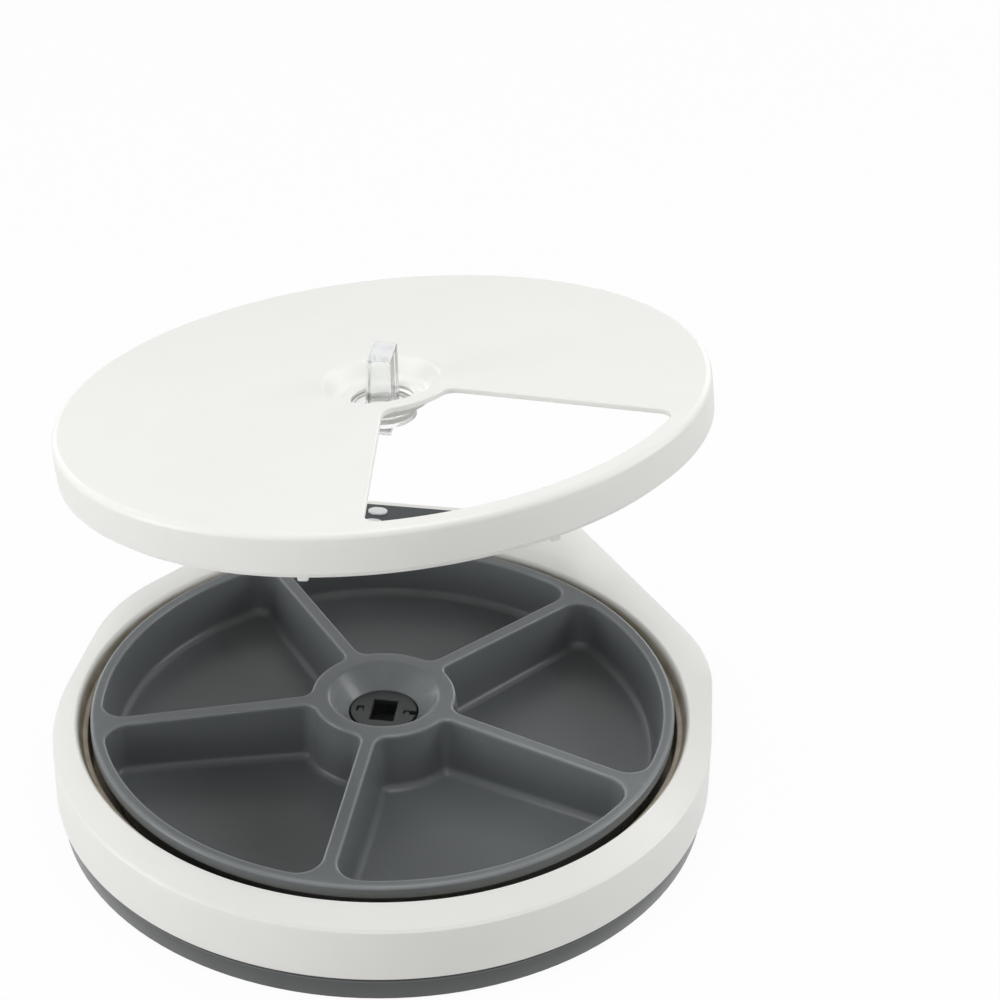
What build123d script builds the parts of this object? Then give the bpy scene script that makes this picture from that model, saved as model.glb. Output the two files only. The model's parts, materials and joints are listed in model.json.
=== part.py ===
from build123d import *
import math
import os

os.makedirs("parts", exist_ok=True)

# A five-meal feeder: a round base with a rear control deck, a turning tray and a lift-off lid.
# Millimetres, +Z up, +Y towards the control deck. It is drawn round the tray's axis, above the resting plane.

# Base outline, seen from above
TUB_R = 143.0
LEDGE_W = 2.6
WELL_LEAN = 2.4
BAND_W = 12.0
REAR_REACH = 40.0
SIDE_TURN = 3.0
DIAG_TURN = 35.0
BATTERY_CLEAR = 3.5
CORNER_R = 75.0
REAR_CORNER_R = 30.0

# Base heights
FOOT_H = 1.5
PLATE_T = 2.5
SPLIT_Z = 15.5
RIM_Z = 50.7
BAND_DROP = 9.2
CASE_WALL = 2.5

# Grey bottom
SKIRT_TOP_IN = 0.9
SKIRT_BOTTOM_IN = 2.8
SKIRT_WALL = 2.2
LIP_H = 3.5
LIP_WALL = 1.8
LIP_GAP = 0.3
FOOT_R = 9.0
FOOT_SINK = 1.2
FOOT_EDGE = 0.5
FOOT_IN = 32.0
FOOT_ANGLES = (-135.0, -45.0, 42.0, 138.0)

# Round well in the base
LEDGE_DROP = 8.0
TUB_DRAFT = 0.4
WELL_ROOT_DROP = 3.5
TUB_FLOOR_Z = 21.7
TUB_T = 2.0

# Tray
TRAY_GAP = 1.5
TRAY_RISE = 1.3
TRAY_CROWN = 4.5
UNDER_TRAY = 3.5
TRAY_T = 2.0
RIM_LAND = 5.7
RIM_DROP = 3.6
RIM_ROUND = 1.9
MEALS = 5
SPOKE_W = 4.8
SPOKE_SHELL = 1.6
SPOKE_ROOF = 9.6
POCKET_DRAFT = 8.0
HUB_LAND = 8.2
POCKET_OUT_ROUND = 13.0
POCKET_IN_ROUND = 7.0
POCKET_FLOOR_ROUND = 4.0
FUNNEL_W = 9.8
FUNNEL_DEPTH = 10.3
FUNNEL_T = 2.2
COLLAR_T = 2.4
COLLAR_H = 13.5
SERVE_ANGLE = -48.85
TRAY_SHOWN_TURN = -6.95

# Lock at the centre
LOCK_R = 16.2
LOCK_GAP = 0.8
LOCK_SINK = 9.9
LOCK_T = 2.9
LOCK_EDGE = 0.4
KEYHOLE_X = 11.6
KEYHOLE_Y = 16.8
KEY_GAP = 0.5
NOTCH_IN = 10.0
NOTCH_LEFT_L = 3.4
NOTCH_LEFT_W = 4.0
NOTCH_RIGHT_W = 3.2
TONGUE_GAP = 0.3
TONGUE_DROP = 0.8
POST_R = 12.6
POST_BASE_R = 15.0
POST_BASE_H = 4.0
KEY_ROOM = 7.0
RUN_GAP = 0.3

# Drive
GEAR_MODULE = 1.0
HUB_TEETH = 72
SMALL_TEETH = 12
BIG_TEETH = 40
PINION_TEETH = 10
TOOTH_BACKLASH = 0.22
TOOTH_ROOT_DEPTH = 1.25
TOOTH_TIP_SHARE = 0.5
TOOTH_FOOT_SHARE = 1.45
GEAR_T = 3.0
GEAR_STACK_GAP = 0.6
GEAR_ANGLE = 90.0
SLEEVE_T = 2.7
SLEEVE_TOP_GAP = 1.5
DOG_T = 3.0
DOG_OUT = 22.0
DOG_H = 11.0
DOG_BITE = 4.5
SLOT_GAP = 0.3
PIN_R = 1.5
PIN_GAP = 0.05
PIN_SINK = 1.25
PIN_BOSS_WALL = 2.2
MOTOR_R = 14.0
MOTOR_H = 6.6
MOTOR_EDGE = 0.75
MOTOR_EAR_R = 19.0
MOTOR_EAR_W = 8.4
MOTOR_EAR_T = 0.9
MOTOR_SCREW_BITE = 1.6
SHAFT_COLLAR_R = 2.5
MAGNET_R = 2.0
MAGNET_T = 2.0
MAGNET_IN = 8.0
SENSOR_L = 16.0
SENSOR_W = 9.0
SENSOR_ANGLE = -90.0
BOARD_T = 1.6
CHIP_T = 1.6
CHIP_L = 4.0
CHIP_W = 3.0
GLIDES = 6
GLIDE_R = 5.0
GLIDE_IN = 29.5
BUSH_T = 2.0
BUSH_FLANGE = 2.5
BUSH_FLANGE_T = 1.2

# Lid, measured from the flat circle at its top edge
LID_OVERHANG = 2.0
LID_EDGE_H = 18.7
LID_T = 2.5
LID_EDGE_ROUND = 3.5
LID_CROWN = 5.3
SKIRT_T = 2.6
LID_LIP_H = 2.8
LID_LIP_T = 2.0
LID_LIP_GAP = 0.8
SEAT_GAP = 0.2
PIP_ANGLES = (-94.0, -51.4, 86.0, 128.6)
PIP_SIZE = 2.6
PIP_H = 1.6
WELL_R = 27.0
WELL_WALL = 2.2
WELL_ROUND = 3.6
WELL_FLOOR_IN = 3.0
WELL_FLOOR_T = 2.0
WELL_FOOT_ROUND = 3.0
WINDOW_INSET = 3.75
WINDOW_IN_LAND = 7.5
WINDOW_OUT_LAND = 9.0
WINDOW_ROUND = 7.0
WINDOW_RIM_T = 1.8
WINDOW_RIM_H = 4.0

# Pull handle
BAR_X = 13.0
BAR_Y = 22.0
BAR_H = 28.8
BAR_TAPER = 2.0
BAR_ROUND = 2.0
BAR_HOLE_GAP = 1.4
FLANGE_R = 16.0
FLANGE_T = 2.0
WASHER_T = 1.0
WASHER_GAP = 0.1
WASHER_BORE_GAP = 0.3
SHANK_GAP = 1.0
KEY_T = 4.0

# How the lid is held in the picture
LIFT = 167.0
TILT = 9.3
TILT_TOWARDS = 140.5
HANG_GAP = 0.21

# Control deck
FASCIA_FRONT_IN = 10.5
FASCIA_REAR_IN = 7.3
FASCIA_END = 17.5
FASCIA_FLARE = -4.0
FASCIA_ROUND = 6.0
FASCIA_T = 2.2
FASCIA_PROUD = 0.8
FASCIA_GAP = 0.2
DECK_OPEN_GAP = 0.6
LENS_W = 44.0
LENS_D = 14.0
LENS_BACK = 24.0
LENS_ROUND = 2.0
LENS_PROUD = 0.2
LENS_GAP = 0.15
DISPLAY_MARGIN = 2.0
DISPLAY_GAP = 0.6
BUTTON_BACKS = (10.2, 27.0)
LENS_TO_BUTTON = 6.0
BUTTON_W = 10.5
BUTTON_D = 9.4
BUTTON_PROUD = 1.0
BUTTON_GAP = 0.3
BUTTON_TRAVEL = 0.8
BUTTON_FLANGE = 0.8
BUTTON_FLANGE_T = 1.0
BUTTON_EDGE_ROUND = 0.6
SWITCH_SIZE = 6.0
SWITCH_H = 2.6
BOARD_DEPTH = 7.2
BOARD_END_IN = 6.0
BOARD_FRONT_IN = 2.5
BOARD_REAR_IN = 1.0
BOARD_POST_IN = 4.0
BOARD_POST_R = 3.0

# Batteries
CELL_R = 7.25
CELL_L = 50.5
CELL_NUB_R = 2.7
CELL_NUB_L = 1.2
CELL_GAP = 0.3
CELLS = 3
CELL_BACK = 17.0
BOX_WALL = 1.6
CONTACT_T = 0.5
CONTACT_BACK = 1.6
DOOR_T = 1.3
DOOR_LAND = 3.0
DOOR_GAP = 0.3

# Screws
SCREW_R = 1.4
SCREW_HOLE_GAP = 0.2
SCREW_HEAD_R = 2.8
SCREW_HEAD_T = 1.1
SMALL_SCREW_R = 1.0
SMALL_HEAD_R = 1.9
SMALL_HEAD_T = 0.9
SCREW_REACH = 9.0
SMALL_REACH = 5.0
BOSS_W = 9.0
BOSS_OUT = 9.4
BOSS_CLEAR = 0.3
CASE_SCREW_ANGLES = (-160.0, -112.0, -68.0, -20.0, 33.0, 147.0)
POST_SCREWS = 3
POST_SCREW_SPREAD = 8.0

# Sizes that follow from the ones above
PLATE_TOP = FOOT_H + PLATE_T
RIM_R = TUB_R + LEDGE_W + WELL_LEAN
BASE_R = RIM_R + BAND_W
REAR_OUT = BASE_R + REAR_REACH
FOOT_SPREAD = BASE_R - FOOT_IN
WIDE_Z = RIM_Z - BAND_DROP
LEDGE_Z = RIM_Z - LEDGE_DROP
TRAY_R = TUB_R - TRAY_GAP
TRAY_RIM_Z = RIM_Z + TRAY_RISE
TRAY_HUB_Z = TRAY_RIM_Z + TRAY_CROWN
TRAY_BOTTOM = TUB_FLOOR_Z + UNDER_TRAY
TRAY_FLOOR_Z = TRAY_BOTTOM + TRAY_T
TRAY_HOLE_R = LOCK_R + LOCK_GAP
POCKET_OUT_R = TRAY_R - RIM_LAND
FUNNEL_R = TRAY_HOLE_R + FUNNEL_W
POCKET_IN_R = FUNNEL_R + HUB_LAND
FUNNEL_Z = TRAY_HUB_Z - FUNNEL_DEPTH
GLIDE_SPREAD = TRAY_R - GLIDE_IN
LOCK_Z = TRAY_HUB_Z - LOCK_SINK
LOCK_BOTTOM = LOCK_Z - LOCK_T
SLEEVE_IN = POST_R + RUN_GAP
SLEEVE_OUT = SLEEVE_IN + SLEEVE_T
HUB_BOTTOM = PLATE_TOP + POST_BASE_H + RUN_GAP
HUB_GEAR_TOP = HUB_BOTTOM + GEAR_T
HUB_PITCH_R = GEAR_MODULE * HUB_TEETH / 2
SMALL_PITCH_R = GEAR_MODULE * SMALL_TEETH / 2
BIG_PITCH_R = GEAR_MODULE * BIG_TEETH / 2
PINION_PITCH_R = GEAR_MODULE * PINION_TEETH / 2
MAGNET_SPREAD = HUB_PITCH_R - MAGNET_IN
IDLER_REACH = HUB_PITCH_R + SMALL_PITCH_R
MOTOR_REACH = IDLER_REACH + BIG_PITCH_R + PINION_PITCH_R
BIG_GEAR_Z = HUB_GEAR_TOP + GEAR_STACK_GAP
MOTOR_TOP = PLATE_TOP + MOTOR_H
COLLAR_BOTTOM = FUNNEL_Z - COLLAR_H
DOG_TOP = COLLAR_BOTTOM + DOG_BITE
TRAY_STEP = 360.0 / MEALS
TRAY_ANGLE = SERVE_ANGLE + TRAY_SHOWN_TURN
SEAT_Z = RIM_Z + SEAT_GAP + LID_EDGE_H
LID_R = RIM_R + LID_OVERHANG
WINDOW_IN_R = WELL_R + WINDOW_IN_LAND
WINDOW_OUT_R = LID_R - WINDOW_OUT_LAND
BAR_HOLE_R = math.hypot(BAR_X, BAR_Y) / 2 + BAR_HOLE_GAP
WASHER_IN_R = math.hypot(BAR_X, BAR_Y) / 2 + WASHER_BORE_GAP
KEY_R = math.hypot(KEYHOLE_X, KEYHOLE_Y) / 2
FLANGE_Z = LOCK_Z + RUN_GAP
WASHER_Z = FLANGE_Z + FLANGE_T + WASHER_GAP
WASHER_OUT_R = FLANGE_R - WASHER_GAP
WELL_FLOOR_Z = SEAT_Z - WELL_FLOOR_IN
HANG_TILT = math.radians(TILT)
HANG_ROOM = WELL_FLOOR_Z - WELL_FLOOR_T - WASHER_Z - WASHER_T
HANG_DROP = HANG_ROOM - WASHER_OUT_R * math.tan(HANG_TILT) - HANG_GAP
TILT_REACH = HANG_DROP / (2 * math.tan(HANG_TILT / 2))
DECK_TILT = math.degrees(math.atan2(RIM_Z - WIDE_Z, REAR_OUT - RIM_R))
FASCIA_FRONT_R = RIM_R + FASCIA_FRONT_IN
FASCIA_REAR_Y = REAR_OUT - FASCIA_REAR_IN
PANEL_MID_Y = (FASCIA_FRONT_R + FASCIA_REAR_Y) / 2
LENS_Y = FASCIA_REAR_Y - LENS_BACK
BUTTON_X = LENS_W / 2 + LENS_TO_BUTTON + BUTTON_W / 2
BUTTON_YS = [FASCIA_REAR_Y - back for back in BUTTON_BACKS]
FASCIA_HALF_REAR = BUTTON_X + BUTTON_W / 2 + FASCIA_END
FASCIA_HALF_FRONT = FASCIA_HALF_REAR + FASCIA_FLARE
BOARD_HALF = FASCIA_HALF_REAR - BOARD_END_IN
BOARD_FRONT = FASCIA_FRONT_R + BOARD_FRONT_IN
BOARD_REAR = FASCIA_REAR_Y - BOARD_REAR_IN
BOARD_POST_X = BOARD_HALF - BOARD_POST_IN
BOARD_POST_YS = (BOARD_FRONT + BOARD_POST_IN, BOARD_REAR - BOARD_POST_IN)
DECK_OPEN_HALF = BUTTON_X + BUTTON_W / 2 + BUTTON_FLANGE + DECK_OPEN_GAP
DECK_OPEN_FRONT = LENS_Y - LENS_D / 2 - DISPLAY_MARGIN - DECK_OPEN_GAP
DECK_OPEN_REAR = BUTTON_YS[0] + BUTTON_D / 2 + BUTTON_FLANGE + DECK_OPEN_GAP
BOX_TOP = PLATE_TOP + 2 * CELL_R + 2 * CELL_GAP
ROW_HALF = CELLS * CELL_L / 2 + (CELLS + 1) * CELL_GAP / 2 + CONTACT_BACK
CELL_Y = RIM_R + CELL_BACK
BOX_END_X = ROW_HALF + BOX_WALL
BOX_REAR_Y = CELL_Y + CELL_R + CELL_GAP + BOX_WALL
DIAG_EDGE = math.radians(DIAG_TURN)
DIAG_OUT = BOX_END_X * math.cos(DIAG_EDGE) + BOX_REAR_Y * math.sin(DIAG_EDGE) + BATTERY_CLEAR + CASE_WALL


# Small helpers

def polar(radius, degrees):
    """A point in plan, given by its radius and its angle from +X."""
    turn = math.radians(degrees)
    return (radius * math.cos(turn), radius * math.sin(turn))


def spun(points):
    """A solid of revolution about Z from (radius, height) points; a third number rounds that corner."""
    rounds = [point[2] if len(point) > 2 else 0 for point in points]
    outline = FilletPolyline(*[point[:2] for point in points], radius=rounds, close=True)
    return revolve(Rot(90, 0, 0) * make_face(outline), axis=Axis.Z)


def disc(radius, low, high, x=0.0, y=0.0):
    """An upright cylinder between two heights."""
    return Pos(x, y, low) * Cylinder(radius, high - low, align=(Align.CENTER, Align.CENTER, Align.MIN))


def ring(inner, outer, low, high, x=0.0, y=0.0):
    """An upright tube between two heights, with its bore open at both ends."""
    return disc(outer, low, high, x, y) - disc(inner, low, high, x, y)


def block(length, width, low, high, x=0.0, y=0.0):
    """An upright box between two heights, centred in plan."""
    return Pos(x, y, low) * Box(length, width, high - low, align=(Align.CENTER, Align.CENTER, Align.MIN))


def corner(turn_a, out_a, turn_b, out_b):
    """The point where two straight edges meet, each given by its outward normal and its distance out."""
    a = math.radians(turn_a)
    b = math.radians(turn_b)
    spread = math.sin(b - a)
    return ((out_a * math.sin(b) - out_b * math.sin(a)) / spread,
            (out_b * math.cos(a) - out_a * math.cos(b)) / spread)


def base_outline(inset):
    """The base from above: a round front, two nearly straight sides, two slanted edges and a flat rear."""
    radius = BASE_R - inset
    start = polar(radius, SIDE_TURN)
    side = corner(SIDE_TURN, radius, DIAG_TURN, DIAG_OUT - inset)
    rear = corner(DIAG_TURN, DIAG_OUT - inset, 90.0, REAR_OUT - inset)
    right = [start, side, rear]
    left = [(-x, y) for x, y in reversed(right)]
    rounds = [CORNER_R - inset, REAR_CORNER_R - inset, REAR_CORNER_R - inset, CORNER_R - inset]
    back = FilletPolyline(*right, *left, radius=rounds)
    front = ThreePointArc(left[-1], (0, -radius), start)
    return make_face([back, front])


def base_prism(inset, low, high, taper=0.0):
    """The base's outline stood up between two heights."""
    return extrude(Pos(0, 0, low) * base_outline(inset), amount=high - low, dir=(0, 0, 1), taper=taper)


def above_deck(drop):
    """All that lies above the sloping band, lowered by drop: a cone in front and flat facets behind."""
    room = 4 * BASE_R
    fall = (RIM_Z - WIDE_Z) / (BASE_R - RIM_R)
    low_r = BASE_R + CASE_WALL
    low_z = WIDE_Z - fall * CASE_WALL
    cone_face = make_face(Polyline([(RIM_R, 0, RIM_Z - drop), (low_r, 0, low_z - drop), (low_r, 0, 2 * RIM_Z),
                                    (RIM_R, 0, 2 * RIM_Z)], close=True))
    cut = revolve(Rot(0, 0, 180 - SIDE_TURN) * cone_face, axis=Axis.Z, revolution_arc=180 + 2 * SIDE_TURN)
    facets = ((SIDE_TURN, BASE_R), (DIAG_TURN, DIAG_OUT), (90.0, REAR_OUT),
              (180 - DIAG_TURN, DIAG_OUT), (180 - SIDE_TURN, BASE_R))
    for turn, out in facets:
        slope = math.atan2(RIM_Z - WIDE_Z, out - RIM_R)
        x, y = polar(RIM_R, turn)
        nx, ny = polar(math.sin(slope), turn)
        facet = Plane(origin=(x, y, RIM_Z - drop), z_dir=(nx, ny, math.cos(slope)))
        cut = cut + facet * Box(room, room, BASE_R, align=(Align.CENTER, Align.CENTER, Align.MIN))
    return cut


def deck_height(y):
    """The height of the rear deck above a place on the centre line."""
    return RIM_Z - (y - RIM_R) * math.tan(math.radians(DECK_TILT))


DECK = Plane(origin=(0, PANEL_MID_Y, deck_height(PANEL_MID_Y)), x_dir=(1, 0, 0),
             z_dir=(0, math.sin(math.radians(DECK_TILT)), math.cos(math.radians(DECK_TILT))))


def along_deck(y):
    """A plan distance turned into a distance along the sloping deck."""
    return (y - PANEL_MID_Y) / math.cos(math.radians(DECK_TILT))


def on_deck(sketch, low, high):
    """A sketch in deck coordinates stood up between two depths below or above the deck."""
    return DECK * Pos(0, 0, low) * extrude(sketch, amount=high - low, dir=(0, 0, 1))


def oval(width, depth, x, y):
    """A stadium shape lying across the deck."""
    return Pos(x, along_deck(y)) * SlotOverall(width, depth)


def gear_face(teeth, phase):
    """A spur gear's outline: straight-flanked teeth with clearance, one of them centred on phase."""
    pitch_r = GEAR_MODULE * teeth / 2
    tip_r = pitch_r + GEAR_MODULE
    root_r = pitch_r - TOOTH_ROOT_DEPTH * GEAR_MODULE
    step = 360.0 / teeth
    half_pitch = step / 4 - math.degrees(TOOTH_BACKLASH / pitch_r) / 2
    half_tip = TOOTH_TIP_SHARE * half_pitch
    half_root = TOOTH_FOOT_SHARE * half_pitch
    points = []
    for tooth in range(teeth):
        mid = phase + tooth * step
        points.append(polar(root_r, mid - half_root))
        points.append(polar(tip_r, mid - half_tip))
        points.append(polar(tip_r, mid + half_tip))
        points.append(polar(root_r, mid + half_root))
    return make_face(Polyline(*points, close=True))


def meshed_phase(angle, phase, teeth, mate_teeth):
    """The phase of a mate that lies at angle from a gear, so that its gaps meet the gear's teeth."""
    return angle + 180 - (phase - angle) * teeth / mate_teeth - 180.0 / mate_teeth


def screw(x, y, low, reach, radius, head_r, head_t):
    """A pan-head screw with its head at the bottom."""
    return disc(head_r, low, low + head_t, x, y) + disc(radius, low, low + head_t + reach, x, y)


def wedge(half_turn, inset, inner, outer, in_round, out_round):
    """A slice of a ring round +X: two edges parallel to its radii and two arcs, with rounded corners."""
    edge = math.radians(half_turn)

    def edge_point(radius, side):
        run = math.sqrt(radius ** 2 - inset ** 2)
        return (run * math.cos(edge) + inset * math.sin(edge),
                side * (run * math.sin(edge) - inset * math.cos(edge)))

    lines = [
        Line(edge_point(inner, -1), edge_point(outer, -1)),
        ThreePointArc(edge_point(outer, -1), (outer, 0), edge_point(outer, 1)),
        Line(edge_point(outer, 1), edge_point(inner, 1)),
        ThreePointArc(edge_point(inner, 1), (inner, 0), edge_point(inner, -1)),
    ]
    face = make_face(lines)
    middle = (inner + outer) / 2
    outer_corners = [v for v in face.vertices() if math.hypot(v.X, v.Y) > middle]
    face = fillet(outer_corners, out_round)
    inner_corners = [v for v in face.vertices() if math.hypot(v.X, v.Y) < inner + in_round / 2]
    return fillet(inner_corners, in_round)


# Base shell: white case, rear deck, round well and floor

def make_base_shell():
    outside = base_prism(0, SPLIT_Z, RIM_Z) - above_deck(0)
    inside = base_prism(CASE_WALL, SPLIT_Z, RIM_Z - CASE_WALL) - above_deck(CASE_WALL)
    shell = outside - inside - disc(RIM_R, WIDE_Z, RIM_Z)
    ledge_out = RIM_R - WELL_LEAN
    well_outer = ledge_out + CASE_WALL
    bush_hole = SLEEVE_OUT + RUN_GAP + BUSH_T
    tub = spun([
        (RIM_R, RIM_Z), (ledge_out, LEDGE_Z), (TUB_R, LEDGE_Z), (TUB_R - TUB_DRAFT, TUB_FLOOR_Z),
        (bush_hole, TUB_FLOOR_Z), (bush_hole, TUB_FLOOR_Z - TUB_T), (TUB_R + CASE_WALL, TUB_FLOOR_Z - TUB_T),
        (TUB_R + CASE_WALL, LEDGE_Z - CASE_WALL), (well_outer, LEDGE_Z - CASE_WALL),
        (RIM_R + CASE_WALL, RIM_Z - WELL_ROOT_DROP),
    ])
    shell = shell + tub
    # Screw columns that hang from the well's outer wall
    for angle in CASE_SCREW_ANGLES:
        mid = TUB_R + CASE_WALL / 2 + BOSS_OUT / 2
        column = block(BOSS_OUT + CASE_WALL, BOSS_W, PLATE_TOP + BOSS_CLEAR, TUB_FLOOR_Z + CASE_WALL, mid, 0)
        hole = disc(SCREW_R + SCREW_HOLE_GAP, PLATE_TOP, TUB_FLOOR_Z - TUB_T, case_screw_reach(), 0)
        shell = shell + Rot(0, 0, angle) * (column - hole)
        shell = shell - Rot(0, 0, angle) * hole
    # Opening and recess for the control panel
    shell = shell - on_deck(fascia_outline(FASCIA_GAP), FASCIA_PROUD - FASCIA_T, BASE_R)
    opening = Pos(0, along_deck((DECK_OPEN_FRONT + DECK_OPEN_REAR) / 2)) * Rectangle(
        2 * DECK_OPEN_HALF, along_deck(DECK_OPEN_REAR) - along_deck(DECK_OPEN_FRONT))
    shell = shell - on_deck(opening, -2 * CASE_WALL, BASE_R)
    # Posts that carry the circuit board
    for x, y in board_posts():
        post = on_deck(Pos(x, along_deck(y)) * Circle(BOARD_POST_R), -BOARD_DEPTH, FASCIA_PROUD - FASCIA_T)
        bore = on_deck(Pos(x, along_deck(y)) * Circle(SMALL_SCREW_R + SCREW_HOLE_GAP), -BOARD_DEPTH,
                       -BOARD_DEPTH + SMALL_REACH)
        shell = shell + post - bore
    return shell


def case_screw_reach():
    """How far from the axis the case screws stand."""
    return TUB_R + CASE_WALL + BOSS_OUT / 2


def board_posts():
    """Plan places of the circuit board's screws."""
    return [(side * BOARD_POST_X, y) for side in (-1, 1) for y in BOARD_POST_YS]


# Grey bottom with its feet

def make_base_plate():
    lean = math.degrees(math.atan2(SKIRT_BOTTOM_IN - SKIRT_TOP_IN, SPLIT_Z - FOOT_H))
    plate = base_prism(SKIRT_BOTTOM_IN, FOOT_H, SPLIT_Z, -lean)
    plate = plate - base_prism(SKIRT_BOTTOM_IN + SKIRT_WALL, PLATE_TOP, SPLIT_Z, -lean)
    lip_in = CASE_WALL + LIP_GAP
    lip_top = SPLIT_Z + LIP_H
    plate = plate + base_prism(lip_in, PLATE_TOP, lip_top) - base_prism(lip_in + LIP_WALL, PLATE_TOP, lip_top)
    # Boss for the gear pin
    pin_x, pin_y = polar(IDLER_REACH, GEAR_ANGLE)
    plate = plate + disc(PIN_R + PIN_BOSS_WALL, PLATE_TOP, HUB_BOTTOM, pin_x, pin_y)
    plate = plate - disc(PIN_R, PLATE_TOP - PIN_SINK, HUB_BOTTOM, pin_x, pin_y)
    for x, y in motor_screw_places():
        plate = plate - disc(SMALL_SCREW_R + SCREW_HOLE_GAP, PLATE_TOP - MOTOR_SCREW_BITE, PLATE_TOP, x, y)
    # Recesses for the feet
    for angle in FOOT_ANGLES:
        x, y = polar(FOOT_SPREAD, angle)
        plate = plate - disc(FOOT_R + RUN_GAP, FOOT_H, FOOT_H + FOOT_SINK, x, y)
    # Holes for the case screws and the post screws
    for x, y in case_screw_places() + post_screw_places():
        plate = plate - disc(SCREW_R + SCREW_HOLE_GAP, FOOT_H, PLATE_TOP, x, y)
        plate = plate - disc(SCREW_HEAD_R + RUN_GAP, FOOT_H, FOOT_H + SCREW_HEAD_T, x, y)
    # Battery opening and the rabbet that the door lies in
    plate = plate - block(2 * ROW_HALF, 2 * CELL_R + 2 * CELL_GAP, FOOT_H, PLATE_TOP, 0, CELL_Y)
    door_l, door_w = door_size()
    plate = plate - block(door_l + 2 * DOOR_GAP, door_w + 2 * DOOR_GAP, FOOT_H, FOOT_H + DOOR_T, 0, CELL_Y)
    x, y = door_screw_place()
    return plate - disc(SMALL_SCREW_R + SCREW_HOLE_GAP, FOOT_H, PLATE_TOP, x, y)


def case_screw_places():
    return [polar(case_screw_reach(), angle) for angle in CASE_SCREW_ANGLES]


def post_screw_places():
    return [polar(POST_SCREW_SPREAD, 360.0 * n / POST_SCREWS) for n in range(POST_SCREWS)]


def door_size():
    return (2 * (ROW_HALF + DOOR_LAND), 2 * (CELL_R + CELL_GAP + DOOR_LAND))


def door_screw_place():
    return (0.0, CELL_Y + CELL_R + CELL_GAP + DOOR_LAND / 2)


def make_feet():
    feet = []
    for angle in FOOT_ANGLES:
        x, y = polar(FOOT_SPREAD, angle)
        pad = disc(FOOT_R, 0, FOOT_H + FOOT_SINK, x, y)
        feet.append(chamfer(pad.edges().sort_by(Axis.Z)[0], FOOT_EDGE))
    return feet


# Tray

def make_tray():
    foot_out = POCKET_OUT_R - (TRAY_RIM_Z - TRAY_FLOOR_Z) * math.tan(math.radians(POCKET_DRAFT)) + TRAY_T
    top_out = POCKET_OUT_R + TRAY_T
    hub_foot = POCKET_IN_R + (TRAY_HUB_Z - TRAY_FLOOR_Z) * math.tan(math.radians(POCKET_DRAFT)) - TRAY_T
    hub_roof = TRAY_HUB_Z - FUNNEL_T - TRAY_T
    body = spun([
        (TRAY_HOLE_R, COLLAR_BOTTOM), (TRAY_HOLE_R, FUNNEL_Z), (FUNNEL_R, TRAY_HUB_Z),
        (POCKET_IN_R, TRAY_HUB_Z), (POCKET_OUT_R, TRAY_RIM_Z), (TRAY_R, TRAY_RIM_Z, RIM_ROUND),
        (TRAY_R, TRAY_RIM_Z - RIM_DROP), (top_out, TRAY_RIM_Z - RIM_DROP), (foot_out, TRAY_BOTTOM),
        (hub_foot, TRAY_BOTTOM), (POCKET_IN_R - TRAY_T, hub_roof), (FUNNEL_R + FUNNEL_T, hub_roof),
        (TRAY_HOLE_R + COLLAR_T, FUNNEL_Z - FUNNEL_T / 2), (TRAY_HOLE_R + COLLAR_T, COLLAR_BOTTOM),
    ])
    rise = TRAY_HUB_Z - TRAY_FLOOR_Z + TRAY_T
    grow = (TRAY_HUB_Z + TRAY_T - TRAY_RIM_Z) * math.tan(math.radians(POCKET_DRAFT))
    pocket_top = wedge(TRAY_STEP / 2, SPOKE_W / 2 - grow / 2, POCKET_IN_R, POCKET_OUT_R + grow,
                       POCKET_IN_ROUND, POCKET_OUT_ROUND)
    pocket_top = Pos(0, 0, TRAY_HUB_Z + TRAY_T) * pocket_top
    pocket = extrude(pocket_top, amount=rise, dir=(0, 0, -1), taper=POCKET_DRAFT)
    pocket = fillet(pocket.faces().sort_by(Axis.Z)[0].edges(), POCKET_FLOOR_ROUND)
    # Hollow under each spoke, open below
    spoke_in = POCKET_IN_R + 2 * POCKET_IN_ROUND
    spoke_out = POCKET_OUT_R - POCKET_OUT_ROUND
    hollow_top = TRAY_RIM_Z - SPOKE_ROOF
    foot_w = SPOKE_W + 2 * (hollow_top - TRAY_BOTTOM) * math.tan(math.radians(POCKET_DRAFT)) - SPOKE_SHELL
    hollow_face = Pos((spoke_in + spoke_out) / 2, 0, TRAY_BOTTOM) * Rectangle(spoke_out - spoke_in, foot_w)
    hollow = extrude(hollow_face, amount=hollow_top - TRAY_BOTTOM, dir=(0, 0, 1), taper=POCKET_DRAFT)
    slot_top = DOG_TOP + SLOT_GAP
    slot = block(TRAY_HOLE_R, DOG_T + 2 * SLOT_GAP, COLLAR_BOTTOM, slot_top, TRAY_HOLE_R + COLLAR_T, 0)
    for n in range(MEALS):
        middle = TRAY_ANGLE + n * TRAY_STEP
        body = body - Rot(0, 0, middle) * pocket
        body = body - Rot(0, 0, middle + TRAY_STEP / 2) * hollow
        body = body - Rot(0, 0, middle + TRAY_STEP / 2) * slot
    return body


# Lock post and drive under the tray

def lock_plate_notches(grow):
    """The two openings beside the key hole, smaller by grow for the tongues that fit them."""
    left_mid = -(NOTCH_IN + NOTCH_LEFT_L / 2)
    left = Pos(left_mid, 0) * Rectangle(NOTCH_LEFT_L - 2 * grow, NOTCH_LEFT_W - 2 * grow)
    right_l = LOCK_R - NOTCH_IN
    right = Pos(NOTCH_IN + right_l / 2, 0) * Rectangle(right_l - 2 * grow, NOTCH_RIGHT_W - 2 * grow)
    return left + right


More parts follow.
